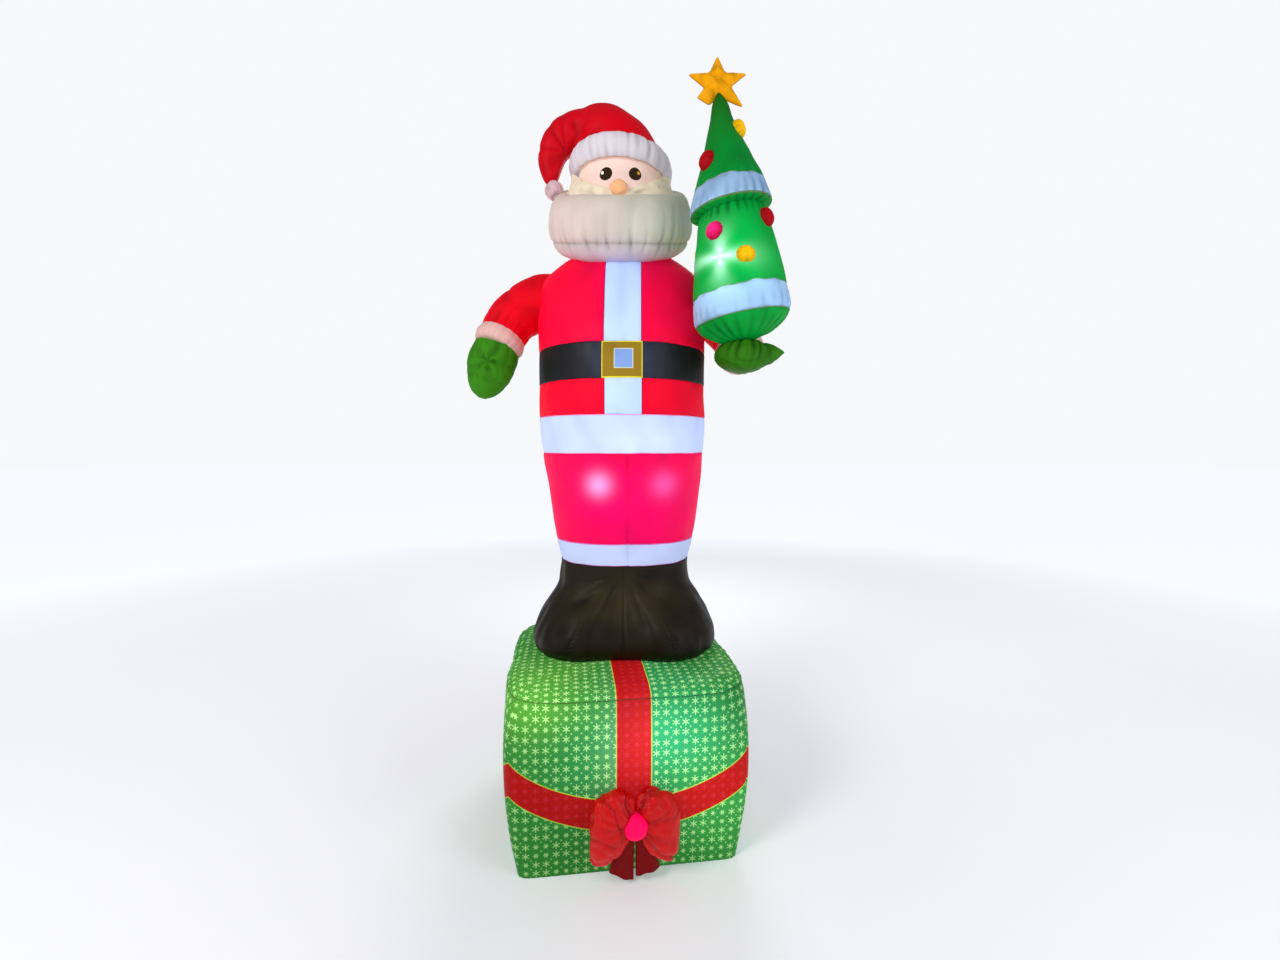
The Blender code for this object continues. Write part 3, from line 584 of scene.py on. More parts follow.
def box_half(z):
    share = z / BOX_RIM_HEIGHT
    return BOX_FOOT + (BOX_RIM - BOX_FOOT) * np.sin(share * np.pi / 2) + BOX_BULGE * np.sin(share * np.pi)


wall = np.linspace(0, BOX_RIM_HEIGHT, 90)
rim = np.linspace(0, 1, 14)[1:] ** 0.8
box_z = np.concatenate([wall, BOX_RIM_HEIGHT + (BOX_HEIGHT - BOX_RIM_HEIGHT) * np.sin(rim * np.pi / 2)])
box_reach = np.concatenate([box_half(wall), BOX_RIM + (BOX_STAND - BOX_RIM) * rim**1.4])
power = 22 + (5.2 - 22) * np.minimum(box_z / BOX_RIM_HEIGHT, 1)
box_grid = level_rings(0, 0, box_z, box_reach, box_reach, box_reach, power, 400)
tucks = near(box_grid[..., 2], BOX_RIM_HEIGHT, 0.05) * lumps(box_grid * (1, 1, 0.15), 0.045, 3) * 0.0022
stitched = near(box_grid[..., 2], BOX_RIM_HEIGHT, 0.005) * -0.0035
hanging = lumps(box_grid * (1, 1, 0.5), 0.30, 4) * 0.0025 * np.clip(box_z / 0.1, 0, 1)[:, None]
box_height = np.where(np.arange(len(box_z))[:, None] > 0, tucks + stitched + hanging, 0)
box_grid = puff(box_grid, box_height)
cos_turn, sin_turn = math.cos(BOX_TURN), math.sin(BOX_TURN)
turn_box = np.array([[cos_turn, sin_turn, 0], [-sin_turn, cos_turn, 0], [0, 0, 1]])
box_grid = box_grid @ turn_box
box = shell("gift-box-shell", box_grid)
print("box faces", len(box.data.polygons))

# %% [markdown]
# The print repeats on a grid of small squares. In each square the angle around its middle draws a
# six-armed flake, a diamond or a ring, so the pattern needs no picture. Angle and distance are all that a
# flake is made of.

# %% Box print
wrap = Cloth("box_print")
turned = wrap.add(
    "ShaderNodeVectorRotate",
    {"Vector": wrap.place, "Axis": (0, 0, 1), "Angle": -BOX_TURN},
    rotation_type="AXIS_ANGLE",
).outputs[0]
box_x, box_y, box_up = wrap.axes(turned)[:3]
wide_x = abs(box_x)
wide_y = abs(box_y)
front_or_back = wide_y > wide_x
aside = (box_x - box_y) * front_or_back + box_y
reach_out = wide_x | wide_y
on_top = box_up > BOX_RIM_HEIGHT
inwards = BOX_RIM - reach_out
height = inwards * on_top + box_up


def in_cell(cloth, u, v, pitch, shift=0.0):
    """Distance and angle from the middle of a repeated square, and the square's random number."""
    parts = []
    for value in (u, v):
        scaled = value * (1 / pitch) + shift
        whole = cloth.math("FLOOR", scaled)
        parts.append((scaled - whole - 0.5, whole))
    (a, cell_u), (b, cell_v) = parts
    length = cloth.math("SQRT", a * a + b * b)
    angle = cloth.math("ARCTAN2", a, b)
    spot = cloth.add("ShaderNodeCombineXYZ", {"X": cell_u, "Y": cell_v}).outputs[0]
    luck = Wire(cloth, cloth.add("ShaderNodeTexWhiteNoise", {"Vector": spot}).outputs["Value"])
    return a, b, length, angle, luck


def flake(cloth, length, angle, reach, thickness, twist=0.0):
    """A six-armed star: thin where three times the angle passes a whole turn."""
    arm = cloth.math("SINE", angle * 3.0 + twist)
    across = abs(arm) * (length * 0.33)
    thin = across.within(-1.0, thickness, thickness * 0.5)
    return thin * length.within(-1.0, reach, 0.03)


PITCH = 0.0345
a, b, length, angle, luck = in_cell(wrap, aside, height, PITCH)
flakes = flake(wrap, length, angle, 0.40, 0.044)
ring = length.within(0.12, 0.19, 0.03)
diamond_size = abs(a) + abs(b)
diamond = diamond_size.within(-1.0, 0.22, 0.04)
double_u = wrap.math("FLOOR", aside * (0.5 / PITCH))
double_v = wrap.math("FLOOR", height * (0.5 / PITCH))
checker = wrap.math("PINGPONG", double_u + double_v, 1.0)
small = luck > 0.5
petty = diamond * small | ring * (1 - small)
petty = petty | flake(wrap, length, angle, 0.31, 0.03, 1.57) * 0.9
marks = flakes * checker + petty * (1 - checker)
_, _, dot_length, _, dot_luck = in_cell(wrap, aside, height, PITCH, 0.5)
dots = dot_length.within(-1.0, 0.085, 0.03) * (dot_luck > 0.25)
marks = marks | dots * 0.8

RIBBON = 0.060
SAG_LOW, SAG_RISE = 0.268, 0.150
from_middle = abs(aside - 0.008)
upright = from_middle.within(-1.0, RIBBON, 0.002) * front_or_back
edge_share = from_middle / 0.43
sag = edge_share ** 2.2 * SAG_RISE + SAG_LOW
above_sag = box_up - sag
level_ribbon = above_sag.within(-0.112, 0.0, 0.002)
low_end = height > sag - 0.05
ribbon = upright * low_end | level_ribbon
upright_edge = from_middle.within(RIBBON - 0.001, RIBBON + 0.003, 0.001) * (low_end * front_or_back)
level_edge = above_sag.within(-0.001, 0.004, 0.001) | above_sag.within(-0.116, -0.111, 0.001)
edge = upright_edge | level_edge
seam_line = box_up.within(BOX_RIM_HEIGHT - 0.0022, BOX_RIM_HEIGHT + 0.0016, 0.001) * 0.6

ground = wrap.mix(wrap.noise(2.2), linear(24, 104, 34), linear(52, 134, 48))
printed = wrap.mix(marks * 0.6, ground, linear(176, 222, 140))
red_cloth = wrap.mix(marks * 0.13, linear(158, 6, 4), linear(230, 70, 100))
colour = wrap.mix(edge, printed, linear(150, 180, 40))
colour = wrap.mix(ribbon, colour, red_cloth)
colour = wrap.mix(seam_line, colour, linear(20, 40, 10))
bare_green = ribbon * -0.85 + 1.0
box.data.materials.append(nylon(wrap, colour, wrinkle=0.25, wrinkle_scale=9.0, bare=bare_green))

where = places_of(box)
lamp = lamp_at(where, (0.17, -0.46, 0.50), (0.20, 0.3, 0.14))
lamp_wide = lamp_at(where, (0.1, -0.45, 0.42), (0.34, 0.5, 0.22))
warm_corner = lamp_at(where, (-0.27, -0.42, 0.60), (0.18, 0.25, 0.10))
low_corner = lamp_at(where, (0.36, -0.42, 0.22), (0.20, 0.3, 0.20))
glow = 0.14 + 0.9 * lamp + 0.6 * lamp_wide + 0.9 * warm_corner + 0.6 * low_corner
glow = glow + 0.25 * (where[:, 2:] > BOX_RIM_HEIGHT)
hot = lamp * (0.0, 0.14, 0.16) + lamp_wide * (0.0, 0.03, 0.04)
hot = hot + warm_corner * (0.08, 0.08, 0.0) + low_corner * (0.0, 0.03, 0.02)
hot = hot + lamp_at(where, (0.01, -0.46, 0.45), (0.07, 0.3, 0.2)) * (0.08, 0.0, 0.02)
light_up(box, glow, hot)
hand_over(box, "gift_box")
print("box lit, lamps", 3)

# %% [markdown]
# ## Boots, legs, coat and belt
# The body is one tall bag of cloth bands. Its height table gives the width, the depth and the depth of the
# middle seam at each level. Each band is cut from that one table, so their edges meet.

# %% Figure table
BODY_X, BODY_Y, LEG_X, GIRTH = 0.008, 0.114, 0.018, 0.360
BOOTS_LOW = BOX_HEIGHT + SEAM
BOOT_HEIGHT = 0.360
BOOTS_TOP = BOOTS_LOW + BOOT_HEIGHT
LEG_CUFFS_TOP = BOOTS_TOP + 0.090
TROUSERS_TOP = LEG_CUFFS_TOP + 0.366
HEM_TOP = TROUSERS_TOP + 0.149
SKIRT_TOP = HEM_TOP + 0.135
BELT_TOP = SKIRT_TOP + 0.140
COAT_HEIGHT = 0.455
COAT_TOP = BELT_TOP + COAT_HEIGHT
FIGURE = (
    (BOOTS_TOP, LEG_X, 0.770, 0.67, 0.67, 0.03),
    (LEG_CUFFS_TOP, LEG_X, 0.829, 0.70, 0.70, 0.03),
    (LEG_CUFFS_TOP + 0.183, LEG_X, 0.903, 0.86, 0.78, 0.06),
    (TROUSERS_TOP, (LEG_X + BODY_X) / 2, 0.967, 1.02, 0.86, 0.02),
    (HEM_TOP, BODY_X, 0.997, 1.11, 0.92, 0.0),
    (SKIRT_TOP, BODY_X, 0.995, 1.14, 0.93, 0.0),
    (BELT_TOP, BODY_X, 1.000, 1.12, 0.93, 0.0),
    (BELT_TOP + COAT_HEIGHT * 0.38, BODY_X, 1.018, 0.98, 0.92, 0.0),
    (BELT_TOP + COAT_HEIGHT * 0.66, BODY_X, 0.985, 0.80, 0.85, 0.0),
    (BELT_TOP + COAT_HEIGHT * 0.84, BODY_X, 0.770, 0.60, 0.68, 0.0),
    (COAT_TOP, BODY_X, 0.420, 0.40, 0.42, 0.0),
)


def figure_grid(low, high, rows, sides=280):
    levels = np.linspace(low, high, rows)
    x, half, front, back, valley = table(FIGURE, levels).T
    levels = levels + np.linspace(SEAM, 0, rows)
    sizes = (half * GIRTH, front * GIRTH, back * GIRTH)
    return level_rings(x, BODY_Y, levels, *sizes, 2.15, sides, valley)


def turn_of(grid, x=BODY_X, y=BODY_Y):
    """The angle of each point round the figure: 0 in front, positive towards +X."""
    return np.arctan2(grid[..., 0] - x, y - grid[..., 1])


def edge_tucks(grid, low, high, count, depth, seed, reach=0.03):
    """Small pleats where a band is gathered at its lower and upper seams."""
    z = grid[..., 2]
    fold = pleats(turn_of(grid), count, seed)
    fold_high = pleats(turn_of(grid) + 0.7, count, seed + 1)
    pinch = -0.6 * (near(z, low, 0.004) + near(z, high, 0.004))
    return depth * (fold * near(z, low, reach) + fold_high * near(z, high, reach) + pinch)


def body_band(name, low, high, rows, count, depth, seed, extra=None):
    grid = figure_grid(low, high, rows)
    height = edge_tucks(grid, low, high, count, depth, seed) + lumps(grid, 0.16, seed) * 0.0016
    if extra is not None:
        height = height + extra(grid)
    return soft_shell(name, grid, height, deep=0.014)


print("figure from", round(BOOTS_LOW, 3), "to", round(COAT_TOP, 3))

# %% Boots
BOOT = (
    (0.00, 1.000, 0.90, 0.74, 0.13),
    (0.05, 1.055, 1.00, 0.79, 0.16),
    (0.14, 1.083, 1.06, 0.81, 0.18),
    (0.32, 1.030, 1.03, 0.79, 0.18),
    (0.52, 0.915, 0.90, 0.75, 0.15),
    (0.72, 0.797, 0.72, 0.69, 0.08),
    (1.00, 0.770, 0.67, 0.67, 0.03),
)


def boot_grid(side, rows=110, arc=150, inner=24):
    """Rings with a round outer side and a straight inner side along the middle seam."""
    shares = np.linspace(0, 1, rows) ** 0.9
    half, front, back, valley = (v[:, None] for v in table(BOOT, shares).T)
    power = (2.9 - 0.75 * shares)[:, None]
    turn = np.pi * (np.linspace(0, 1, arc) - 0.5)[None, :]
    across, deep = np.maximum(np.cos(turn), 0), np.sin(turn)
    dent = 1 - valley * near(across, 0, 0.30)
    x = SEAM / 2 + half * GIRTH * across ** (2 / power)
    y = np.where(deep > 0, back, front) * GIRTH * np.sign(deep) * np.abs(deep) ** (2 / power) * dent
    inner_y = y[:, -1:] + (y[:, :1] - y[:, -1:]) * np.linspace(0, 1, inner)[None, 1:-1]
    grid = np.empty((rows, arc + inner - 2, 3))
    grid[..., 0] = LEG_X + side * np.hstack([x, np.full((rows, inner - 2), SEAM / 2)])
    grid[..., 1] = BODY_Y + np.hstack([y, inner_y])
    grid[..., 2] = BOOTS_LOW + BOOT_HEIGHT * shares[:, None]
    return grid


def boot_row(side):
    """The two ends of the puckered row on the outer side of a boot."""
    high = (LEG_X + side * 0.150, -0.22, BOOTS_LOW + 0.19)
    return high, (LEG_X + side * 0.205, -0.24, BOOTS_LOW + 0.07)


def boot_folds(grid, side):
    """Creases that run from the ankle's middle, tucks over the toe and one puckered row."""
    x, y, z = grid[..., 0] - LEG_X, grid[..., 1], grid[..., 2] - BOOTS_LOW
    ankle = np.arctan2(np.abs(x), np.maximum(0.33 - z, 0.001))
    far = np.hypot(x, 0.33 - z)
    rays = pleats(ankle * 1.9, 7, 11 + side) * np.clip(far / 0.12, 0, 1) * near(far, 0, 0.34)
    toe = pleats(x * 9, 6, 21 + side) * near(z, 0.02, 0.085)
    ankle_side = (LEG_X + side * 0.28, -0.11, BOOTS_LOW + 0.255)
    level = groove(grid, ankle_side, (LEG_X + side * 0.10, -0.16, BOOTS_LOW + 0.27), 0.012)
    row = groove(grid, *boot_row(side), 0.010)
    row = row * (1 + 0.5 * np.sin(z * 2 * np.pi / 0.016))
    front = 1 / (1 + np.exp((y - 0.05) / 0.03))
    soft = lumps(grid, 0.11, 31 + side) * 0.0022
    return (rays * 0.008 + toe * 0.007 - level * 0.006 - row * 0.006) * front + soft


boots = []
for side, node in ((-1, "boot_right"), (1, "boot_left")):
    grid = boot_grid(side)
    free = np.clip((np.abs(grid[..., 0] - LEG_X) - 0.002) / 0.02, 0, 1)
    free = free * np.clip((BOOTS_TOP - grid[..., 2]) / 0.02, 0, 1)
    free = free * np.clip((grid[..., 2] - BOOTS_LOW) / 0.01, 0, 1)
    name = node.replace("_", "-") + "-shell"
    boots.append(soft_shell(name, grid, boot_folds(grid, side) * free, deep=0.010, most=0.7))
print("boot faces", len(boots[0].data.polygons))

# %% Bands of cloth
SEAM_X, SEAM_KNOT = 0.037, 1.359


def middle_seam(grid):
    """The sewn line down the front and back of the legs, with short creases at its knot."""
    x, z = grid[..., 0] - SEAM_X, grid[..., 2]
    line = near(x, 0, 0.006) + 0.35 * near(x, 0, 0.04)
    above = z - SEAM_KNOT
    rays = pleats(np.arctan2(x, above), 6, 8) * np.exp(-((np.hypot(x, above) / 0.08) ** 2))
    return -0.005 * line + 0.006 * rays * (grid[..., 1] < BODY_Y)


leg_cuffs = body_band(
    "trouser-cuffs-shell", BOOTS_TOP, LEG_CUFFS_TOP, 30, 18, 0.0018, 40, lambda g: middle_seam(g) * 0.7
)
trousers = body_band("trousers-shell", LEG_CUFFS_TOP, TROUSERS_TOP, 90, 20, 0.003, 42, middle_seam)
hem = body_band("coat-hem-shell", TROUSERS_TOP, HEM_TOP, 40, 26, 0.0020, 44)
skirt = body_band("coat-skirt-shell", HEM_TOP, SKIRT_TOP, 36, 28, 0.0026, 46)
belt = body_band("belt-shell", SKIRT_TOP, BELT_TOP, 36, 40, 0.0026, 48)


def coat_folds(grid):
    """Flutes that hang from the shoulders, and the two edges of the front strip."""
    turn, z = turn_of(grid), grid[..., 2]
    rise = np.clip((z - BELT_TOP) / COAT_HEIGHT, 0, 1)
    flutes = pleats(turn, 11, 52) * np.sin(rise * np.pi) * 0.005
    strip = np.exp(-(((np.abs(grid[..., 0] - 0.020) - 0.070) / 0.004) ** 2)) * (grid[..., 1] < BODY_Y)
    return flutes - 0.003 * strip


coat = body_band("coat-shell", BELT_TOP, COAT_TOP, 110, 30, 0.003, 50, coat_folds)
print("bands", [len(b.data.polygons) for b in (leg_cuffs, trousers, hem, skirt, belt, coat)])

# %% Cloth for the figure
RED_CLOTH = linear(216, 0, 38)
COLLAR_LOW = 2.293
WHITE_CLOTH = linear(196, 206, 236)


def band_cloth(name, colour, line=None, low=0.0, high=0.0):
    """Nylon with a thin coloured line at the seams of a band."""
    cloth = Cloth(name)
    up = cloth.axes(cloth.place)[2]
    base = cloth.mix(0.0, colour, colour)
    if line:
        inside = up.within(low + 0.0035, high - 0.0035, 0.001)
        base = cloth.mix(inside, line, colour)
    return cloth, base, up


def front_patch(cloth, left, right, low=0.0, high=9.0):
    """1 inside an upright rectangle on the figure's front."""
    x_here, y_here, up = cloth.axes(cloth.place)[:3]
    tall = up.within(low, high, 0.001)
    patch = x_here.within(left, right, 0.001) * tall
    return patch * (y_here < 0.0)


def front_strip(cloth, base, left, right):
    """The pale strip down the front, with a dark seam on both sides."""
    base = cloth.mix(front_patch(cloth, left - 0.003, right + 0.003), base, linear(120, 0, 40))
    return cloth.mix(front_patch(cloth, left, right), base, linear(170, 190, 236))


def finish_band(thing, node, slot, cloth, base, glow, hot=(0, 0, 0), **finish):
    thing.data.materials.append(nylon(cloth, base, **finish))
    light_up(thing, glow, hot)
    hand_over(thing, node)


boot_black = plain_nylon(
    "boot_black",
    linear(27, 21, 9),
    roughness=0.5,
    wrinkle=0.5,
    wrinkle_scale=10.0,
    stretch=(1, 1, 0.5),
    gloss=0.14,
    deep=0.012,
)
for thing, node in zip(boots, ("boot_right", "boot_left")):
    thing.data.materials.append(boot_black)
    where = places_of(thing)
    light_up(thing, 0.1 + 2.0 * lamp_at(where, (0.018, -0.18, 0.88), (0.22, 0.3, 0.09)), 0.0)
    hand_over(thing, node)

cloth, base, up = band_cloth("leg_cuff_white", WHITE_CLOTH, linear(214, 120, 190), BOOTS_TOP, LEG_CUFFS_TOP)
finish_band(leg_cuffs, "trouser_cuffs", "trim_white", cloth, base, 0.10, (0.02, 0.03, 0.10), wrinkle=0.2)

cloth, base, up = band_cloth("trouser_red", linear(222, 0, 66))
finish_band(
    trousers, "trousers", "suit_red", cloth, base,
    0.45 + 0.9 * lamp_at(places_of(trousers), (-0.07, -0.2, 1.34), (0.12, 0.4, 0.10)),
    lamp_at(places_of(trousers), (-0.075, -0.22, 1.345), (0.045, 0.4, 0.045)) * (0.05, 0.42, 0.75)
    + lamp_at(places_of(trousers), (0.18, -0.2, 1.345), (0.05, 0.4, 0.05)) * (0.05, 0.09, 0.30)
    + lamp_at(places_of(trousers), (0.05, -0.2, 1.25), (0.28, 0.6, 0.20)) * (0.0, 0.0, 0.06),
    wrinkle=0.25,
)

cloth, base, up = band_cloth("hem_white", WHITE_CLOTH, linear(226, 150, 196), TROUSERS_TOP, HEM_TOP)
where = places_of(hem)
finish_band(
    hem,
    "coat_hem",
    "trim_white",
    cloth,
    base,
    0.12 + 0.25 * lamp_at(where, (0.12, -0.28, 1.50), (0.20, 0.4, 0.07)),
    (0.03, 0.06, 0.16),
    wrinkle=0.2,
)

cloth, base, up = band_cloth("skirt_red", RED_CLOTH)
base = front_strip(cloth, base, -0.046, 0.092)
where = places_of(skirt)
finish_band(
    skirt,
    "coat_skirt",
    "suit_red",
    cloth,
    base,
    0.32 + 0.35 * lamp_at(where, (-0.15, -0.3, 1.7), (0.25, 0.4, 0.2)),
    0.0,
    wrinkle=0.3,
)

cloth, base, up = band_cloth("belt_black", linear(16, 14, 16))
plate = front_patch(cloth, -0.0575, 0.0953)
inner_plate = front_patch(cloth, -0.0545, 0.0923, SKIRT_TOP + 0.005, BELT_TOP - 0.005)
window_edge = front_patch(cloth, -0.0115, 0.0610, 1.786, 1.861)
window = front_patch(cloth, -0.0085, 0.0580, 1.789, 1.858)
base = cloth.mix(plate, base, linear(226, 214, 40))
base = cloth.mix(inner_plate, base, linear(140, 110, 0))
base = cloth.mix(window_edge, base, linear(200, 206, 170))
base = cloth.mix(window, base, linear(120, 150, 206))
bare_belt = plate * -0.9 + 1.0
where = places_of(belt)
finish_band(
    belt,
    "belt",
    "belt_black",
    cloth,
    base,
    0.25,
    lamp_at(where, (0.02, -0.3, 1.82), (0.11, 0.4, 0.2)) * (0.030, 0.045, 0.100),
    roughness=0.5,
    wrinkle=0.3,
    stretch=(1, 1, 0.3),
    gloss=0.2,
    bare=bare_belt,
)

cloth, base, up = band_cloth("coat_red", RED_CLOTH)
base = cloth.mix(up.within(COLLAR_LOW, 3.0, 0.001), base, linear(190, 200, 240))
base = front_strip(cloth, base, -0.0496, 0.0898)
where = places_of(coat)
glow = 0.24 + 0.55 * lamp_at(where, (-0.26, -0.2, 2.0), (0.20, 0.5, 0.3))
glow = glow + 0.25 * lamp_at(where, (0.1, -0.3, 1.95), (0.2, 0.4, 0.3))
hot = lamp_at(where, (0.02, -0.3, 2.0), (0.22, 0.4, 0.3)) * (0.0, 0.0, 0.035)
hot = hot + lamp_at(where, (0.02, -0.2, 2.22), (0.2, 0.4, 0.1)) * (0.0, 0.0, 0.02)
finish_band(coat, "coat", "suit_red", cloth, base, glow, hot, wrinkle=0.35)
print("figure dressed")

# %% [markdown]
# ## Head
# The face is one smooth bag. Its eyes are printed, so they are drawn in the cloth's colour, each with a
# painted highlight. The nose is a small ball sewn on, and the moustache and the beard are flat cushions that
# wrap round the cheeks.

# %% Head and nose
HEAD_HEIGHT, HEAD_GIRTH, HEAD_X, HEAD_Y, HAT_BAND = 0.355, 0.228, 0.001, 0.090, 0.186
HEAD_LOW = COAT_TOP + SEAM
HEAD_TOP = COAT_TOP + HEAD_HEIGHT
BAND_SHARE = HAT_BAND / HEAD_GIRTH
HEAD = (
    (0.00, 0.84, 0.62, 0.84),
    (0.07, 0.92, 0.78, 0.90),
    (0.28, 0.98, 0.93, 0.95),
    (0.55, 0.99, 0.97, 0.96),
    (0.80, BAND_SHARE, BAND_SHARE, BAND_SHARE),
    (1.00, BAND_SHARE, BAND_SHARE, BAND_SHARE),
)


def head_place(turn, height, out=0.0):
    """Points on the face, turned from the front towards +X, some way out of it."""
    share = (height - HEAD_LOW) / (HEAD_TOP - HEAD_LOW)
    half, front, back = (table(HEAD, np.ravel(share)) * HEAD_GIRTH).T.reshape(3, *np.shape(share))
    depth = np.where(np.abs(turn) < np.pi / 2, front, back) + out
    x = HEAD_X + (half + out) * np.sin(turn)
    return np.stack([x, HEAD_Y - depth * np.cos(turn), height + 0 * x], -1)


shares = np.linspace(0, 1, 70)
half, front, back = (table(HEAD, shares) * HEAD_GIRTH).T
head_grid = level_rings(
    HEAD_X, HEAD_Y, HEAD_LOW + (HEAD_TOP - HEAD_LOW) * shares, half, front, back, 2.0, 160
)
head = shell("head-shell", puff(head_grid, lumps(head_grid, 0.12, 60) * 0.0012))

BEARD_MIDDLE = COAT_TOP + 0.015
NOSE_RADIUS = 0.036


def ball_grid(centre, radii, rows=40, sides=64, turn=None):
    """A ball or an egg as a grid of rings, laid along any direction."""
    lift = np.linspace(0.02, np.pi - 0.02, rows)[:, None]
    around = np.linspace(0, 2 * np.pi, sides, endpoint=False)[None, :]
    ways = np.stack(
        [np.sin(lift) * np.cos(around), np.sin(lift) * np.sin(around), np.cos(lift) + 0 * around], -1
    )
    local = ways * np.array(radii)
    if turn is not None:
        local = local @ np.array(turn).T
    return np.array(centre) + local


nose_centre = head_place(np.array(0.0), np.array(BEARD_MIDDLE + 0.165), 0.010)
nose_grid = ball_grid(nose_centre, (NOSE_RADIUS, NOSE_RADIUS * 0.85, NOSE_RADIUS * 0.93))
nose = shell("nose-shell", puff(nose_grid, lumps(nose_grid, 0.03, 61) * 0.0006))
print("nose at", np.round(nose_centre, 3))

# %% Beard and moustache
BEARD_REACH, BEARD_TALL, BEARD_DEPTH, BEARD_LIFT = 0.318, 0.262, 0.175, 0.195
TUCKS = [
    (-0.56, 0.007), (-0.47, 0.008), (-0.41, 0.011), (-0.33, 0.005), (-0.22, 0.011), (-0.15, 0.005),
    (
        -0.074, 0.011
    ), (0.01, 0.004), (0.094, 0.012), (0.18, 0.005), (0.31, 0.011), (0.41, 0.012), (0.50, 0.007),
    (-0.76, 0.006), (-0.66, 0.006), (0.62, 0.006), (0.74, 0.006),
]


def beard_grid(rows=360, sides=120):
    share = np.linspace(-0.985, 0.985, rows)[:, None]
    turn = math.radians(112) * share
    size = np.sqrt(1 - np.abs(share) ** 7)
    depth, height = BEARD_DEPTH / 2 * size, BEARD_TALL / 2 * np.sqrt(size) * (1 + 0.10 * share**2)
    angle = circle(sides)
    seam_gap = np.angle(np.exp(1j * (angle + math.radians(36))))
    out = BEARD_REACH - BEARD_DEPTH / 2 + depth * np.sign(np.cos(angle)) * np.abs(np.cos(angle)) ** 0.85
    z = BEARD_MIDDLE + BEARD_LIFT * share**2 + height * np.sign(np.sin(angle)) * np.abs(np.sin(angle)) ** 0.85
    grid = np.stack([HEAD_X + out * np.sin(turn), HEAD_Y - out * np.cos(turn), z + 0 * turn], -1)
    above = np.where(seam_gap > 0, np.exp(-seam_gap / 0.42), np.exp(seam_gap / 0.35))
    tucks = 0 * seam_gap * share
    for place, depth_here in TUCKS:
        wander = place + 0.010 * np.sin(seam_gap * 3 + place * 40)
        tucks = tucks - depth_here * near(share, wander, 0.010 + 0.016 * np.clip(1 - above, 0, 1)) * above
    seam_line = -0.007 * near(seam_gap, 0, 0.05) - 0.004 * near(seam_gap, 0, 0.22)
    return grid, tucks + seam_line + lumps(grid, 0.16, 72) * 0.0022


def moustache_grid(rows=160, sides=48):
    share = np.linspace(-1, 1, rows)[:, None]
    reach = np.abs(share)
    top = BEARD_MIDDLE + 0.155 + 0.165 * reach**1.2
    low = BEARD_MIDDLE + 0.070 + 0.05 * reach + 0.100 * reach**4
    thick = 0.030 * (1 - 0.45 * reach**3) * (1 - 0.35 * near(share, 0, 0.05))
    angle = circle(sides)
    level = (top + low) / 2 + (top - low) / 2 * np.sin(angle)
    out = 0.024 * reach**3 + thick / 2 * np.cos(angle)
    grid = head_place(math.radians(82) * share + 0 * angle, level, out)
    crease = groove(grid, (0.165, -0.07, 2.56), (0.045, -0.16, 2.50), 0.007)
    crease = crease + 0.5 * groove(grid, (-0.16, -0.08, 2.54), (-0.07, -0.15, 2.49), 0.008)
    crease = crease + 0.8 * groove(grid, (0.155, -0.08, 2.535), (0.175, -0.07, 2.53), 0.007)
    return grid, lumps(grid, 0.07, 73) * 0.0015 - crease * 0.006


beard_points, beard_height = beard_grid()
beard = soft_shell("beard-shell", beard_points, beard_height, deep=0.014, most=0.34)
moustache = soft_shell("moustache-shell", *moustache_grid())
print("beard faces", len(beard.data.polygons))

# %% [markdown]
# ## Hat
# A dome and a folded tip make the hat. They are made as two lofts and then remeshed into one skin, as the
# cloth of the real hat is one bag. Creases run across the fold, where the cloth has too much length.

# %% Hat skin
HAT_HEIGHT = 0.274
DOME = (
    (0.00, 0.00, 1.00),
    (0.20, 0.00, 1.00),
    (0.36, 0.06, 0.935),
    (0.58, 0.20, 0.870),
    (0.78, 0.34, 0.710),
    (0.93, 0.46, 0.450),
    (1.00, 0.50, 0.120),
)


def tip_station(share, out, rise, radius):
    x, y = HEAD_X - out * HAT_BAND, HEAD_Y - 0.25 * HAT_BAND * share
    return (share, x, y, HEAD_TOP + rise * HAT_HEIGHT, radius * HAT_BAND, radius * HAT_BAND)


TIP = (
    tip_station(0.00, 0.36, 0.58, 0.50),
    tip_station(0.22, 0.86, 0.60, 0.52),
    tip_station(0.42, 1.28, 0.52, 0.45),
    tip_station(0.60, 1.53, 0.31, 0.37),
    tip_station(0.78, 1.62, 0.06, 0.30),
    tip_station(0.93, 1.60, -0.16, 0.22),
    tip_station(1.00, 1.56, -0.24, 0.15),
)


def one_skin(name, parts, voxel, smooth=6):
    """Join overlapping closed parts into one skin of even, small faces."""
    with bpy.context.temp_override(active_object=parts[0], selected_editable_objects=parts):
        bpy.ops.object.join()
    body = parts[0]
    body.name = name
    remesh = body.modifiers.new("one skin", "REMESH")
    remesh.mode, remesh.voxel_size = "VOXEL", voxel
    ease = body.modifiers.new("ease", "SMOOTH")
    ease.iterations, ease.factor = smooth, 0.5
    graph = bpy.context.evaluated_depsgraph_get()
    mesh = bpy.data.meshes.new_from_object(body.evaluated_get(graph))
    bpy.data.objects.remove(body)
    return place_shell(name, mesh)


def move_out(thing, height):
    """Move each point of a finished shell along its normal."""
    normals = measure(thing.data, "vertices", "normal")
    moved = places_of(thing) + normals * np.broadcast_to(height, len(normals))[:, None]
    thing.data.vertices.foreach_set("co", moved.ravel())
    thing.data.update()


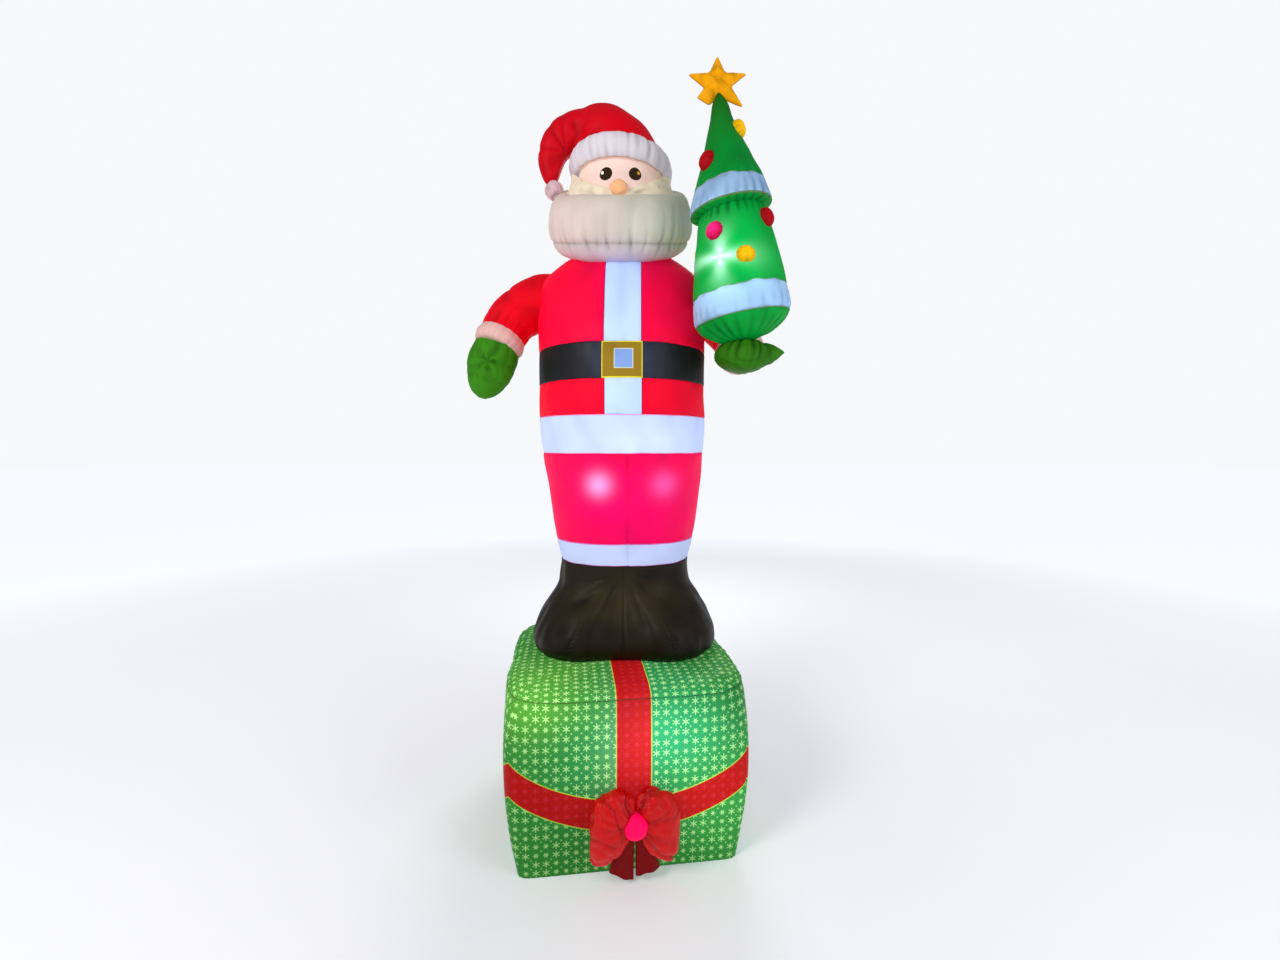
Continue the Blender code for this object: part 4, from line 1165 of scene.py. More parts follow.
dome_shares = np.linspace(0, 0.985, 40)
shift, radius = table(DOME, dome_shares).T
radius = radius * HAT_BAND
dome_z = HEAD_TOP + SEAM + HAT_HEIGHT * dome_shares
dome_grid = level_rings(HEAD_X - shift * HAT_BAND, HEAD_Y, dome_z, radius, radius, radius, 2, 120)
hat = one_skin("hat-shell", [shell("dome", dome_grid), shell("tip", tube_rings(TIP, 60, 90))], 0.006, 24)
where = places_of(hat)
fold_spot = np.array((HEAD_X - 1.25 * HAT_BAND, HEAD_Y, HEAD_TOP + 0.05))
fan = pleats(np.arctan2(where[:, 0] - fold_spot[0], where[:, 2] - fold_spot[2]), 9, 80)
far = np.linalg.norm(where - fold_spot, axis=1)
cross = groove(where, (-0.20, -0.06, 2.62), (-0.26, -0.05, 2.74), 0.02)
cross = cross + groove(where, (-0.155, -0.03, 2.70), (-0.19, -0.02, 2.86), 0.016)
hat_height = fan * 0.006 * near(far, 0.10, 0.12) - cross * 0.008
move_out(hat, hat_height + lumps(where, 0.14, 81) * 0.002)
darken(hat, hat_height, 0.008, 0.35)
print("hat faces", len(hat.data.polygons))

# %% Brim and pompom
BRIM_THICKNESS, BRIM_HEIGHT, BRIM_TILT, BRIM_ROLL = 0.040, 0.102, 0.100, 0.060


def brim_grid(rows=370, sides=40):
    """Sections round the head: a puffed outer side with some forty pleats, and a flat inner wall."""
    angle = (np.arange(rows) / rows * 2 * np.pi)[:, None]
    lift = np.linspace(-np.pi / 2, np.pi / 2, sides - 10)[None, :]
    fold = 0.6 * pleats(angle, 27, 90) + 0.5 * pleats(angle, 41, 93) * (0.4 + 0.6 * np.abs(np.sin(lift)))
    fold = fold * (0.75 + 0.35 * np.sin(angle * 5 + lift * 1.5))
    out = BRIM_THICKNESS * (0.18 + 0.82 * np.cos(lift) * (1 + 0.30 * fold))
    z = BRIM_HEIGHT / 2 * np.sin(lift) * (1 + 0.10 * pleats(angle, 19, 94))
    inner_z = np.linspace(0.46, -0.46, 10)[None, :] * BRIM_HEIGHT + 0 * angle
    reach = HAT_BAND + SEAM + np.hstack([out, 0 * inner_z])
    z = np.hstack([z, inner_z])
    x, y = reach * np.cos(angle), reach * np.sin(angle)
    grid = np.stack([HEAD_X + x, HEAD_Y + y, HEAD_TOP + z - BRIM_TILT * y - BRIM_ROLL * x], -1)
    return grid, np.hstack([fold, 0 * inner_z]) * 0.006


brim_points, brim_fold = brim_grid()
brim = shell("hat-brim-shell", brim_points, loop=True)
darken(brim, brim_fold, 0.006, 0.35)
POMPOM_RADIUS = 0.041
tip_end = table(TIP, 1.0)[0][:3]
pompom_centre = tip_end + (0.1 * POMPOM_RADIUS, 0, -0.9 * POMPOM_RADIUS)
pompom_grid = ball_grid(pompom_centre, (POMPOM_RADIUS,) * 3, 48, 72)
pompom_folds = creases(pompom_grid, 0.045, 91) * 0.004 + lumps(pompom_grid, 0.05, 92) * 0.002
pompom = soft_shell("hat-pompom-shell", pompom_grid, pompom_folds)
print("pompom at", np.round(pompom_centre, 3))

# %% Cloth for the head
face_cloth = Cloth("face_cloth")
x_here, y_here, up = face_cloth.axes(face_cloth.place)[:3]
in_front = y_here < HEAD_Y


def oval(cloth, x, z, centre_x, centre_z, half_x, half_z, soft=0.03):
    """1 inside an upright oval, in front of the face."""
    across = x * (1 / half_x) + -centre_x / half_x
    upward = z * (1 / half_z) + -centre_z / half_z
    far = cloth.math("SQRT", across * across + upward * upward)
    return far.within(-1.0, 1.0, soft) * in_front


side_panel = 1 - x_here.within(-0.165, 0.175, 0.002) * in_front
skin = face_cloth.mix(x_here.within(-0.135, 0.145, 0.05), linear(228, 202, 178), linear(228, 196, 186))
skin = face_cloth.mix(side_panel, skin, linear(214, 208, 216))
# Each eye is a black oval with a painted highlight: a pale one on the left eye and a golden reflection on the
# right.
for centre_x, highlight_x, half_x, painted_highlight in (
    (-0.0526, -0.068, 0.0262, linear(236, 236, 230)),
    (0.0660, 0.080, 0.0255, linear(190, 140, 40)),
):
    skin = face_cloth.mix(
        oval(face_cloth, x_here, up, centre_x, 2.603, half_x, 0.0335), skin, linear(14, 10, 8)
    )
    skin = face_cloth.mix(oval(face_cloth, x_here, up, highlight_x, 2.612, 0.0060, 0.0085, 0.2), skin, painted_highlight)
head.data.materials.append(nylon(face_cloth, skin, wrinkle=0.15))
light_up(head, 0.22, (0.02, 0.01, 0.0))
hand_over(head, "head")

nose.data.materials.append(plain_nylon("nose_cloth", linear(226, 168, 122), wrinkle=0.2, wrinkle_scale=30.0))
light_up(nose, 0.22)
hand_over(nose, "nose")

beard_cloth = Cloth("beard_cloth")
x_here, _, up = beard_cloth.axes(beard_cloth.place)[:3]
# Painted light and shade: the cream is lighter and warmer towards -X, darker and greener towards +X, and
# lilac and darker at the bottom.
sideways = beard_cloth.add("ShaderNodeClamp", {0: x_here * 1.8 + 0.45}).outputs[0]
cream_with_painted_light = beard_cloth.mix(sideways, linear(212, 192, 184), linear(186, 190, 168))
lower = beard_cloth.add("ShaderNodeClamp", {0: up * -9.0 + 2.33 * 9.0}).outputs[0]
cream_with_painted_light = beard_cloth.mix(lower, cream_with_painted_light, linear(184, 168, 186))
beard_nylon = nylon(beard_cloth, cream_with_painted_light, wrinkle=0.3)
moustache_nylon = plain_nylon("moustache_cloth", linear(222, 208, 182), wrinkle=0.25)
for thing, node, cloth, glow in (
    (beard, "beard", beard_nylon, 0.12), (moustache, "moustache", moustache_nylon, 0.22)
):
    thing.data.materials.append(cloth)
    light_up(thing, glow)
    hand_over(thing, node)

hat.data.materials.append(plain_nylon("hat_red", linear(184, 0, 18), wrinkle=0.35, wrinkle_scale=9.0))
light_up(hat, 0.20 + 0.25 * lamp_at(places_of(hat), (0.0, -0.1, 2.8), (0.2, 0.4, 0.12)))
hand_over(hat, "hat")
for thing, node, tint in (
    (brim, "hat_brim", linear(206, 198, 206)), (pompom, "hat_pompom", linear(200, 168, 174))
):
    thing.data.materials.append(
        plain_nylon(node.replace("hat_", "trim_"), tint, wrinkle=0.35, wrinkle_scale=24.0, deep=0.004)
    )
    light_up(thing, 0.16)
    hand_over(thing, node)
print("head dressed")

# %% [markdown]
# ## Arms and mittens
# Each arm is a tube along a bent line. Where a tube bends, its inner side has too much cloth, and there the
# folds are deepest. The mittens are flatter tubes, gathered into their cuffs.

# %% Sleeves
SHOULDER = np.array((BODY_X + GIRTH * 0.76, BODY_Y, BELT_TOP + COAT_HEIGHT * 0.53))
SLEEVE_RADIUS, CUFF_LENGTH, CUFF_RADIUS, MITTEN_LENGTH = 0.123, 0.058, 0.104, 0.235
ARM_TABLES = {
    "right": (
        (
            0.00, -0.010, 0.000, 0.000, 0.99
        ), (0.30, 0.080, 0.002, 0.006, 1.02), (0.55, 0.155, 0.020, 0.040, 0.95),
        (0.78, 0.210, 0.045, 0.100, 0.87), (1.00, 0.241, 0.075, 0.167, 0.79),
    ),
    "left": (
        (
            0.00, -0.010, -0.015, 0.000, 0.99
        ), (0.26, 0.080, -0.030, 0.010, 0.98), (0.50, 0.168, -0.060, 0.070, 0.91),
        (0.76, 0.232, -0.065, 0.148, 0.83), (1.00, 0.242, 0.010, 0.206, 0.76),
    ),
}


def arm_line(name):
    side = -1 if name == "right" else 1
    rows = []
    for share, out, forward, drop, r in ARM_TABLES[name]:
        x = BODY_X + side * (SHOULDER[0] - BODY_X + out)
        thick = SLEEVE_RADIUS * r
        rows.append((share, x, SHOULDER[1] - forward, SHOULDER[2] - drop, thick, thick))
    return rows


def line_end(line):
    """Where a line ends, and its direction there."""
    end, before = table(line, 1.0)[0][:3], table(line, 0.96)[0][:3]
    return end, unit(end - before)


sleeves, arm_cuffs = {}, {}
for name in ARM_TABLES:
    line = arm_line(name)
    grid = tube_rings(line, 110, 120)
    along_arm = np.linspace(0, 1, 110)[:, None]
    around = circle(120)
    gather = pleats(around, 16, 100) * near(along_arm, 1, 0.20) * 0.006
    elbow = creases(grid, 0.30, 101) * np.sin(along_arm * np.pi) * 0.006
    below = near(np.cos(around + 1.2), -1, 0.7) * np.sin(along_arm * np.pi)
    pit = pleats(along_arm * 6 + np.sin(around) * 0.4, 5, 104) * below * 0.006
    folds = gather + elbow + pit + lumps(grid, 0.14, 102) * 0.002
    sleeves[name] = soft_shell(f"sleeve-{name}-shell", grid, folds, deep=0.008, most=0.35)
    end, way = line_end(line)
    low, high = end + way * SEAM, end + way * CUFF_LENGTH
    cuff_line = (
        (0.0, *low, CUFF_RADIUS * 0.98, CUFF_RADIUS * 0.98),
        (0.5, *((low + high) / 2), CUFF_RADIUS * 1.03, CUFF_RADIUS * 1.03),
        (1.0, *high, CUFF_RADIUS * 0.95, CUFF_RADIUS * 0.95),
    )
    grid = tube_rings(cuff_line, 30, 120)
    fold = pleats(around, 20, 103) * (0.4 + 0.6 * np.abs(np.linspace(-1, 1, 30))[:, None]) * 0.003
    arm_cuffs[name] = soft_shell(f"arm-cuff-{name}-shell", grid, fold, deep=0.005, most=0.3)
print("sleeves", list(sleeves))

# %% Mittens
MITTEN = (
    (0.00, 0.90, 0.82), (0.25, 1.00, 0.84), (0.50, 0.94, 0.78),
    (0.75, 0.74, 0.62), (0.92, 0.46, 0.40), (1.00, 0.16, 0.16),
)
end, way = line_end(arm_line("right"))
start = end + way * CUFF_LENGTH * 0.8
down = unit(np.array((-0.27, -0.12, -1.0)))
mitten_line = [
    (s, *(start + down * MITTEN_LENGTH * s), CUFF_RADIUS * w, CUFF_RADIUS * d) for s, w, d in MITTEN
]
grid = tube_rings(mitten_line, 110, 130)
along_hand = np.linspace(0, 1, 110)[:, None]
around = circle(130)
gather = pleats(around, 13, 110) * near(along_hand, 0.12, 0.30) * 0.009
tuck_rows = sum(near(along_hand, s, 0.035) for s in (0.36, 0.52, 0.68))
rows_of_tucks = tuck_rows * (pleats(around, 10, 111) * 0.006 - 0.0015)
front_ring = grid[42]
pinch = front_ring[np.argmin(front_ring[:, 1])]
away = grid - pinch
far = np.linalg.norm(away, axis=-1)
rays = np.cos(5 * np.arctan2(away[..., 0], away[..., 2]) + 0.6) * (1 - near(far, 0, 0.014))
star_fold = rays * 0.009 * np.exp(-far / 0.060) - 0.006 * near(far, 0, 0.012)
mitten_height = gather * 0.6 + rows_of_tucks * 0.7 + star_fold + creases(grid, 0.16, 112) * 0.002
mitten_right = soft_shell("mitten-right-shell", grid, mitten_height, deep=0.014, most=0.6)

TREE_X, TREE_Y, TREE_HEIGHT, TREE_RADIUS = 0.491, -0.205, 0.957, 0.185
LEAN, ROLL = math.tan(math.radians(6)), math.tan(math.radians(10))
TREE_LOW = SHOULDER[2] - 0.226
end, way = line_end(arm_line("left"))
start = end + way * CUFF_LENGTH * 0.8
palm = np.array((TREE_X, TREE_Y + 0.03, TREE_LOW - 0.056))
fingers = palm + (0.0, -0.115, -0.004)
hand_line = (
    (0.00, *start, CUFF_RADIUS * 0.86, CUFF_RADIUS * 0.86),
    (0.32, *((start + palm) / 2), CUFF_RADIUS * 1.00, CUFF_RADIUS * 0.76),
    (0.62, *palm, CUFF_RADIUS * 1.08, CUFF_RADIUS * 0.63),
    (0.86, *(palm + (fingers - palm) * 0.7), CUFF_RADIUS * 0.84, CUFF_RADIUS * 0.55),
    (1.00, *fingers, CUFF_RADIUS * 0.30, CUFF_RADIUS * 0.24),
)
root = palm + (CUFF_RADIUS * 0.45, -0.02, 0.0)
point = root + (0.110, -0.015, 0.008)
thumb_line = (
    (0.0, *root, 0.050, 0.052), (0.5, *((root + point) / 2), 0.040, 0.038), (1.0, *point, 0.006, 0.006)
)
hand = shell("hand", tube_rings(hand_line, 70, 90, up=(0, 0, 1)))
thumb = shell("thumb", tube_rings(thumb_line, 40, 50))
mitten_left = one_skin("mitten-left-shell", [hand, thumb], 0.005)
where = places_of(mitten_left)
fan = pleats(np.arctan2(where[:, 0] - TREE_X, where[:, 1] - TREE_Y) * 1.5 + where[:, 2] * 4, 9, 113)
under_tree = np.exp(-np.maximum(TREE_LOW - 0.03 - where[:, 2], 0) / 0.05)
hand_height = fan * 0.008 * under_tree + creases(where, 0.12, 114) * 0.003
move_out(mitten_left, hand_height)
darken(mitten_left, hand_height, 0.008, 0.6)
print("mitten faces", len(mitten_right.data.polygons), len(mitten_left.data.polygons))

# %% Cloth for the arms
sleeve_red = plain_nylon("sleeve_red", linear(206, 0, 22), wrinkle=0.3, wrinkle_scale=9.0)
cuff_white = plain_nylon("arm_cuff_white", linear(216, 172, 164), wrinkle=0.3)
mitten_green = plain_nylon("mitten_green", linear(48, 116, 14), wrinkle=0.35, wrinkle_scale=18.0)
for name in sleeves:
    sleeves[name].data.materials.append(sleeve_red)
    light_up(sleeves[name], 0.32)
    hand_over(sleeves[name], f"sleeve_{name}")
    arm_cuffs[name].data.materials.append(cuff_white)
    light_up(arm_cuffs[name], 0.12)
    hand_over(arm_cuffs[name], f"arm_cuff_{name}")
for thing, node, glow in ((mitten_right, "mitten_right", 0.30), (mitten_left, "mitten_left", 0.05)):
    thing.data.materials.append(mitten_green)
    light_up(thing, glow)
    hand_over(thing, node)
print("arms dressed")

# %% [markdown]
# ## Tree
# Two cones of green nylon, each with a printed band of snow. The tree leans, and its rings are rolled
# sideways, so height inside the tree is measured along its own axis: one sloping formula gives the share of
# the tree's height at any point, for the shape and for the print.

# %% Tree shape
TIER_JOIN = 0.513
LOWER_TIER = (
    (0.000, 0.30), (0.012, 0.53), (0.046, 0.82), (0.086, 0.97), (0.117, 1.00),
    (0.205, 0.96), (0.305, 0.89), (0.407, 0.79), (0.478, 0.72), (TIER_JOIN, 0.66),
)
UPPER_TIER = (
    (TIER_JOIN, 0.66), (0.520, 0.81), (0.540, 0.845), (0.610, 0.745), (0.711, 0.550),
    (0.813, 0.360), (0.894, 0.235), (0.965, 0.145), (1.000, 0.050),
)


def tree_place(stations, share, turn, out=0.0):
    """Points on a tier, turned from the front towards +X, at shares of the tree's height."""
    radius = table(stations, np.ravel(share))[:, 0].reshape(np.shape(share)) * TREE_RADIUS + out
    x = radius * np.sin(turn)
    rise = TREE_HEIGHT * share
    return np.stack(
        [TREE_X - rise * LEAN + x, TREE_Y - radius * np.cos(turn), TREE_LOW + rise + x * ROLL], -1
    )


def tier(name, stations, low, high, rows, seed, folds, lift=0.0, sides=200):
    share = np.linspace(low, high, rows)[:, None]
    turn = circle(sides)
    height = folds(share, turn)
    grid = tree_place(stations, share + 0 * turn, turn + 0 * share)
    grid[..., 2] += lift * np.linspace(1, 0, rows)[:, None]
    return soft_shell(name, grid, height + lumps(grid, 0.12, seed) * 0.0015, deep=0.008, most=0.5)


def lower_folds(share, turn):
    bowl = pleats(turn, 20, 120) * near(share, 0.03, 0.045) * 0.007
    neck = pleats(turn, 26, 121) * near(share, 0.50, 0.03) * 0.010
    band = pleats(turn, 16, 122) * (near(share, 0.186, 0.02) + near(share, 0.084, 0.015)) * 0.003
    snow_tucks = pleats(turn, 27, 128) * near(share, 0.115, 0.030) * 0.004
    return bowl + neck + band + snow_tucks - 0.003 * (near(share, 0.186, 0.004) + near(share, 0.084, 0.004))


def upper_folds(share, turn):
    hem_tucks = pleats(turn, 24, 123) * near(share, 0.525, 0.03) * 0.007
    band = pleats(turn, 15, 124) * near(share, 0.616, 0.02) * 0.003
    point = pleats(turn, 7, 125) * near(share, 1.0, 0.08) * 0.002
    snow_tucks = pleats(turn, 22, 129) * near(share, 0.568, 0.028) * 0.004
    return hem_tucks + band + point + snow_tucks - 0.003 * near(share, 0.616, 0.004)


tree_base = tier("tree-base-shell", LOWER_TIER, 0.0, TIER_JOIN, 140, 126, lower_folds)
tree_top = tier("tree-top-shell", UPPER_TIER, TIER_JOIN, 1.0, 140, 127, upper_folds, SEAM)
print("tree from", round(TREE_LOW, 3), "to", round(TREE_LOW + TREE_HEIGHT, 3))

# %% Star
STAR_RADIUS, STAR_THICKNESS = 0.112, 0.066
STAR_POINTS = ((0, 0.98), (71, 1.09), (132, 1.23), (220, 1.00), (288, 1.09))
corners = []
for number, (degrees, length) in enumerate(STAR_POINTS):
    following = STAR_POINTS[(number + 1) % 5][0]
    between = (degrees + following + (360 if following < degrees else 0)) / 2
    tips = [(degrees, length)] if degrees != 220 else [(202, 0.80), (236, 0.86)]
    corners += [(math.radians(t), r) for t, r in tips] + [(math.radians(between), 0.47)]
corners = np.array([(math.sin(t) * r, math.cos(t) * r) for t, r in corners]) * STAR_RADIUS
STEPS = 20
outline = np.concatenate([
    corners[k] + (np.roll(corners, -1, 0)[k] - corners[k]) * np.linspace(0, 1, STEPS, endpoint=False)[:, None]
    for k in range(len(corners))
])
for _ in range(8):
    outline = (np.roll(outline, 1, 0) + 2 * outline + np.roll(outline, -1, 0)) / 4
star_centre = np.array(
    (TREE_X - TREE_HEIGHT * LEAN, TREE_Y + 0.03, TREE_LOW + TREE_HEIGHT + STAR_RADIUS * 0.5)
)
lean = np.linspace(-np.pi / 2 + 0.05, np.pi / 2 - 0.05, 60)[:, None]
scale, out = np.cos(lean) ** 0.8, np.sin(lean)
reach_here = np.hypot(*outline.T)[None, :]
thin = 1 - 0.35 * scale * (reach_here / STAR_RADIUS > 0.5)
star_grid = np.stack([
    star_centre[0] + outline[None, :, 0] * scale,
    star_centre[1] + out * STAR_THICKNESS / 2 * thin,
    star_centre[2] + outline[None, :, 1] * scale,
], -1)
soft_dents = lumps(star_grid, 0.05, 130) * 0.004 * np.abs(np.sin(lean)) ** 1.5
star_grid[..., 1] -= soft_dents * np.sign(out)
star = shell("tree-star-shell", star_grid)
darken(star, soft_dents, 0.004, 0.35)
print("star at", np.round(star_centre, 3))

# %% Baubles
BAUBLE_RADIUS = 0.036
BAUBLES = (
    ("bauble_yellow_top", UPPER_TIER, 0.826, 58, 0.80, 1.05, "yellow"),
    ("bauble_red_top", UPPER_TIER, 0.708, -52, 0.95, 1.15, "red"),
    ("bauble_red_left", LOWER_TIER, 0.415, -38, 0.95, 1.00, "pink"),
    ("bauble_red_right", LOWER_TIER, 0.440, 50, 0.95, 1.05, "red"),
    ("bauble_yellow_middle", LOWER_TIER, 0.290, 1, 1.00, 0.90, "yellow"),
    ("bauble_red_back", LOWER_TIER, 0.330, 150, 0.95, 1.00, "red"),
    ("bauble_yellow_back", LOWER_TIER, 0.400, -130, 0.95, 0.95, "yellow"),
    ("bauble_red_back_top", UPPER_TIER, 0.730, 165, 0.85, 1.00, "red"),
)
bauble_cloths = {
    "yellow": plain_nylon("bauble_yellow", linear(210, 160, 4), wrinkle=0.3, wrinkle_scale=14.0, deep=0.003),
    "red": plain_nylon("bauble_red", linear(150, 2, 14), wrinkle=0.3, wrinkle_scale=14.0, deep=0.003),
    "pink": plain_nylon("bauble_pink", linear(190, 6, 60), wrinkle=0.3, wrinkle_scale=14.0, deep=0.003),
}
for number, (node, stations, share, degrees, wide, tall, kind) in enumerate(BAUBLES):
    turn = math.radians(degrees)
    centre = tree_place(stations, np.array(share), np.array(turn))
    way = Vector((math.sin(turn), -math.cos(turn), 0.25)).normalized()
    facing = way.to_track_quat("Z", "Y").to_matrix()
    radii = (BAUBLE_RADIUS * wide, BAUBLE_RADIUS * tall, BAUBLE_RADIUS * 0.8)
    grid = ball_grid(centre, radii, 30, 48, facing)
    dimple = -0.5 * np.exp(-((np.linspace(0, np.pi, 30)[:, None] / 0.35) ** 2))
    ribs = pleats(circle(48), 8, 140 + number) * np.sin(np.linspace(0, np.pi, 30))[:, None]
    thing = soft_shell(node.replace("_", "-") + "-shell", grid, 0.003 * ribs + 0.004 * dimple, deep=0.005)
    thing.data.materials.append(bauble_cloths[kind])
    # A bright spot on the front of each bauble, stored as glow: a painted highlight, tinted pink on the pink
    # baubles.
    painted_highlight = lamp_at(places_of(thing), centre + np.array(way) * 0.03, BAUBLE_RADIUS * 0.75)
    light_up(
        thing,
        0.1 + (0.5 if kind == "red" else 0.8) * painted_highlight,
        painted_highlight * ((0.35, 0.02, 0.22) if kind == "pink" else 0.0),
    )
    hand_over(thing, node)
print("baubles", len(BAUBLES))

# %% Cloth for the tree
tree_cloth = Cloth("tree_green")
x_here, y_here, up = tree_cloth.axes(tree_cloth.place)[:3]
sloped = x_here * -ROLL + (TREE_X * ROLL - TREE_LOW)
size = (1 + LEAN * ROLL) * TREE_HEIGHT
share = (up + sloped) * (1 / size)
wave = tree_cloth.noise(13.0, 1.0) * 0.034 - 0.017
wavy = share + wave
snow = wavy.within(0.1, 0.186, 0.002) | share.within(0.084, 0.15, 0.002)
snow_high = wavy.within(0.55, 0.616, 0.002) | share.within(0.53, 0.58, 0.002)
snow_edge = wavy.within(0.186, 0.1885, 0.001) | wavy.within(0.616, 0.6185, 0.001)
low_edge = share.within(0.0815, 0.084, 0.001) | share.within(0.524, 0.53, 0.001)
green = tree_cloth.mix(tree_cloth.noise(5.0), linear(0, 122, 34), linear(0, 142, 52))
dark_tip = tree_cloth.add(
    "ShaderNodeMapRange", {"Value": share, "From Min": 0.72, "From Max": 0.98}
).outputs["Result"]
green = tree_cloth.mix(dark_tip, green, linear(24, 96, 14))
green = tree_cloth.mix(snow, green, linear(140, 172, 206))
green = tree_cloth.mix(snow_high, green, linear(140, 172, 206))
green = tree_cloth.mix(snow_edge | low_edge, green, linear(96, 120, 70))
tree_nylon = nylon(tree_cloth, green, wrinkle=0.35, wrinkle_scale=15.0)
for thing, node in ((tree_base, "tree_base"), (tree_top, "tree_top")):
    thing.data.materials.append(tree_nylon)
    where = places_of(thing)
    lamp_spot = np.array((0.376, -0.36, 2.184))
    lamp = lamp_at(where, lamp_spot + (0.05, 0, -0.01), (0.13, 0.2, 0.15))
    rays = np.abs(
        np.cos(2 * np.arctan2(where[:, 0] - lamp_spot[0], where[:, 2] - lamp_spot[2]))
    )[:, None] ** 3
    spot = lamp_at(where, lamp_spot, (0.036, 0.1, 0.034)) + rays * lamp_at(
        where, lamp_spot, (0.105, 0.15, 0.085)
    ) * 0.8
    top_dark = np.clip((2.55 - where[:, 2:]) / 0.3, 0, 1)
    light_up(thing, 0.04 + 0.34 * top_dark + 0.9 * lamp, spot * (0.65, 0.95, 0.85) + lamp * (0, 0.10, 0.04))
    hand_over(thing, node)
star.data.materials.append(plain_nylon("star_amber", linear(216, 146, 2), wrinkle=0.35, wrinkle_scale=9.0))
light_up(star, 0.30)
hand_over(star, "tree_star")
print("tree dressed")

# %% [markdown]
# ## Bow
# The bow is glossy nylon that is stuffed and crumpled. Its parts are laid out from the knot, in the turned
# frame of the box's front. Sharp valleys between soft hills make cloth look crumpled rather than lumpy.

# %% Bow shape
BOW_HEIGHT, KNOT_RADIUS = 0.213, 0.043
LOOP_LENGTH, LOOP_HEIGHT, LOOP_DEPTH, LOOP_RISE, LOOP_DROP = 0.148, 0.240, 0.100, 0.030, 0.035
TAIL_LENGTH, TAIL_WIDTH = 0.155, 0.085
BOW_FRONT = float(box_half(np.array(BOW_HEIGHT)))


def bow_place(across, out, up):
    """Points of the bow: across the front, out from the cloth, and up from the knot."""
    across, out, up = np.broadcast_arrays(across, out, up)
    return np.stack([0.008 + across, -BOW_FRONT - out, BOW_HEIGHT + up], -1) @ turn_box


def loop_grid(side, rows=56, sides=72):
    share = np.linspace(0, 1, rows)
    stations = (
        (0.00, 0.02, 0.52, 0.34), (0.25, 0.28, 0.88, 0.50), (0.55, 0.60, 1.00, 0.52),
        (0.82, 0.88, 0.92, 0.42), (1.00, 1.02, 0.62, 0.20),
    )
    out, height, depth = (v[:, None] for v in table(stations, share).T)
    angle = circle(sides)
    across = side * LOOP_LENGTH * (out + 0 * angle)
    forward = LOOP_DEPTH * (0.42 + depth * np.cos(angle) * 0.96)
    middle = LOOP_RISE - (LOOP_RISE + LOOP_DROP) * share[:, None]
    up = middle + LOOP_HEIGHT / 2 * height * np.sin(angle) * 0.96
    grid = bow_place(across, forward, up)
    gather = pleats(angle, 8, 150 + side) * (1 - share[:, None]) ** 1.2 * 0.010
    crumple = creases(grid, 0.20, 152 + side) * 0.005 + creases(grid, 0.10, 154 + side) * 0.002
    return grid, gather + crumple


def tail_grid(side, length, tip, rows=60, sides=60):
    share = np.linspace(0, 1, rows)[:, None]
    angle = circle(sides)
    across = side * TAIL_WIDTH * (
        0.30 + 0.24 * share
    ) + TAIL_WIDTH / 2 * (0.55 + 0.45 * share) * np.cos(angle)
    up = -0.02 - length * share + tip * side * np.cos(angle) * share
    fold = 0.03 * np.sin(across * 2 * np.pi / 0.05)
    forward = LOOP_DEPTH * (0.42 + 0.14 * np.sin(angle) - 0.10 * share + fold)
    return bow_place(across, forward, up)


loops = []
for side, name in ((-1, "bow-loop-right-shell"), (1, "bow-loop-left-shell")):
    loop = soft_shell(name, *loop_grid(side), deep=0.012, most=0.5)
    near_knot = np.exp(-(np.linalg.norm(places_of(loop) - bow_place(0.0, 0.05, 0.0), axis=1) / 0.05) ** 2)
    fill_with_air(loop, near_knot, 0.010, slack=0.10)
    where = places_of(loop)
    from_knot = (where - bow_place(0.0, 0.05, 0.0)) @ turn_box.T
    fan = pleats(np.arctan2(from_knot[:, 2], np.abs(from_knot[:, 0])) * 2.2, 7, 160 + side)
    close = np.exp(-np.hypot(from_knot[:, 0], from_knot[:, 2]) / 0.08)
    crumple = fan * 0.011 * close + creases(where, 0.14, 162 + side) * 0.005
    move_out(loop, crumple)
    darken(loop, crumple, 0.010, 0.6)
    loops.append(loop)
bow_right, bow_left = loops
tail_right = shell("bow-tail-right-shell", tail_grid(-1, TAIL_LENGTH * 1.05, 0.018))
tail_left = shell("bow-tail-left-shell", tail_grid(1, TAIL_LENGTH, 0.01))
knot_centre = bow_place(0.0, LOOP_DEPTH * 0.62, 0.0)
knot_turn = np.array(Matrix.Rotation(BOX_TURN, 3, "Z") @ Matrix.Rotation(math.pi / 2, 3, "X"))
knot_grid = ball_grid(knot_centre, (KNOT_RADIUS, KNOT_RADIUS, KNOT_RADIUS * 0.9), 44, 64, knot_turn)
knot = soft_shell("bow-knot-shell", knot_grid, creases(knot_grid, 0.10, 158) * 0.0015)
bow_red = plain_nylon(
    "bow_red", linear(196, 0, 2), roughness=0.42, wrinkle=0.3, wrinkle_scale=12.0, gloss=0.25
)
# The tails are the bow's red made darker: painted shade, where they hang behind and under the loops.
shaded_bow_red = plain_nylon(
    "bow_red_painted_shade", linear(120, 0, 2), roughness=0.5, wrinkle=0.3, wrinkle_scale=12.0, gloss=0.1
)
for thing, node, cloth, slot, glow in (
    (bow_right, "bow_loop_right", bow_red, "bow_red", 0.22),
    (bow_left, "bow_loop_left", bow_red, "bow_red", 0.22),
    (tail_right, "bow_tail_right", shaded_bow_red, "bow_red", 0.05),
    (tail_left, "bow_tail_left", shaded_bow_red, "bow_red", 0.05),
    (knot, "bow_knot", plain_nylon("knot_pink", linear(240, 4, 84), wrinkle=0.2), "knot_pink", 0.5),
):
    thing.data.materials.append(cloth)
    light_up(thing, glow)
    hand_over(thing, node)
print("bow dressed, pieces", len(finished))

# %% [markdown]
# ## Stitches and piping
# Thread and piping follow lines that the shells already have, so two small node trees lay them. One puts a
# stitch at every step along a line, and the other sweeps a round cord along it. Both are baked to meshes.

# %% Node trees for thread and cord


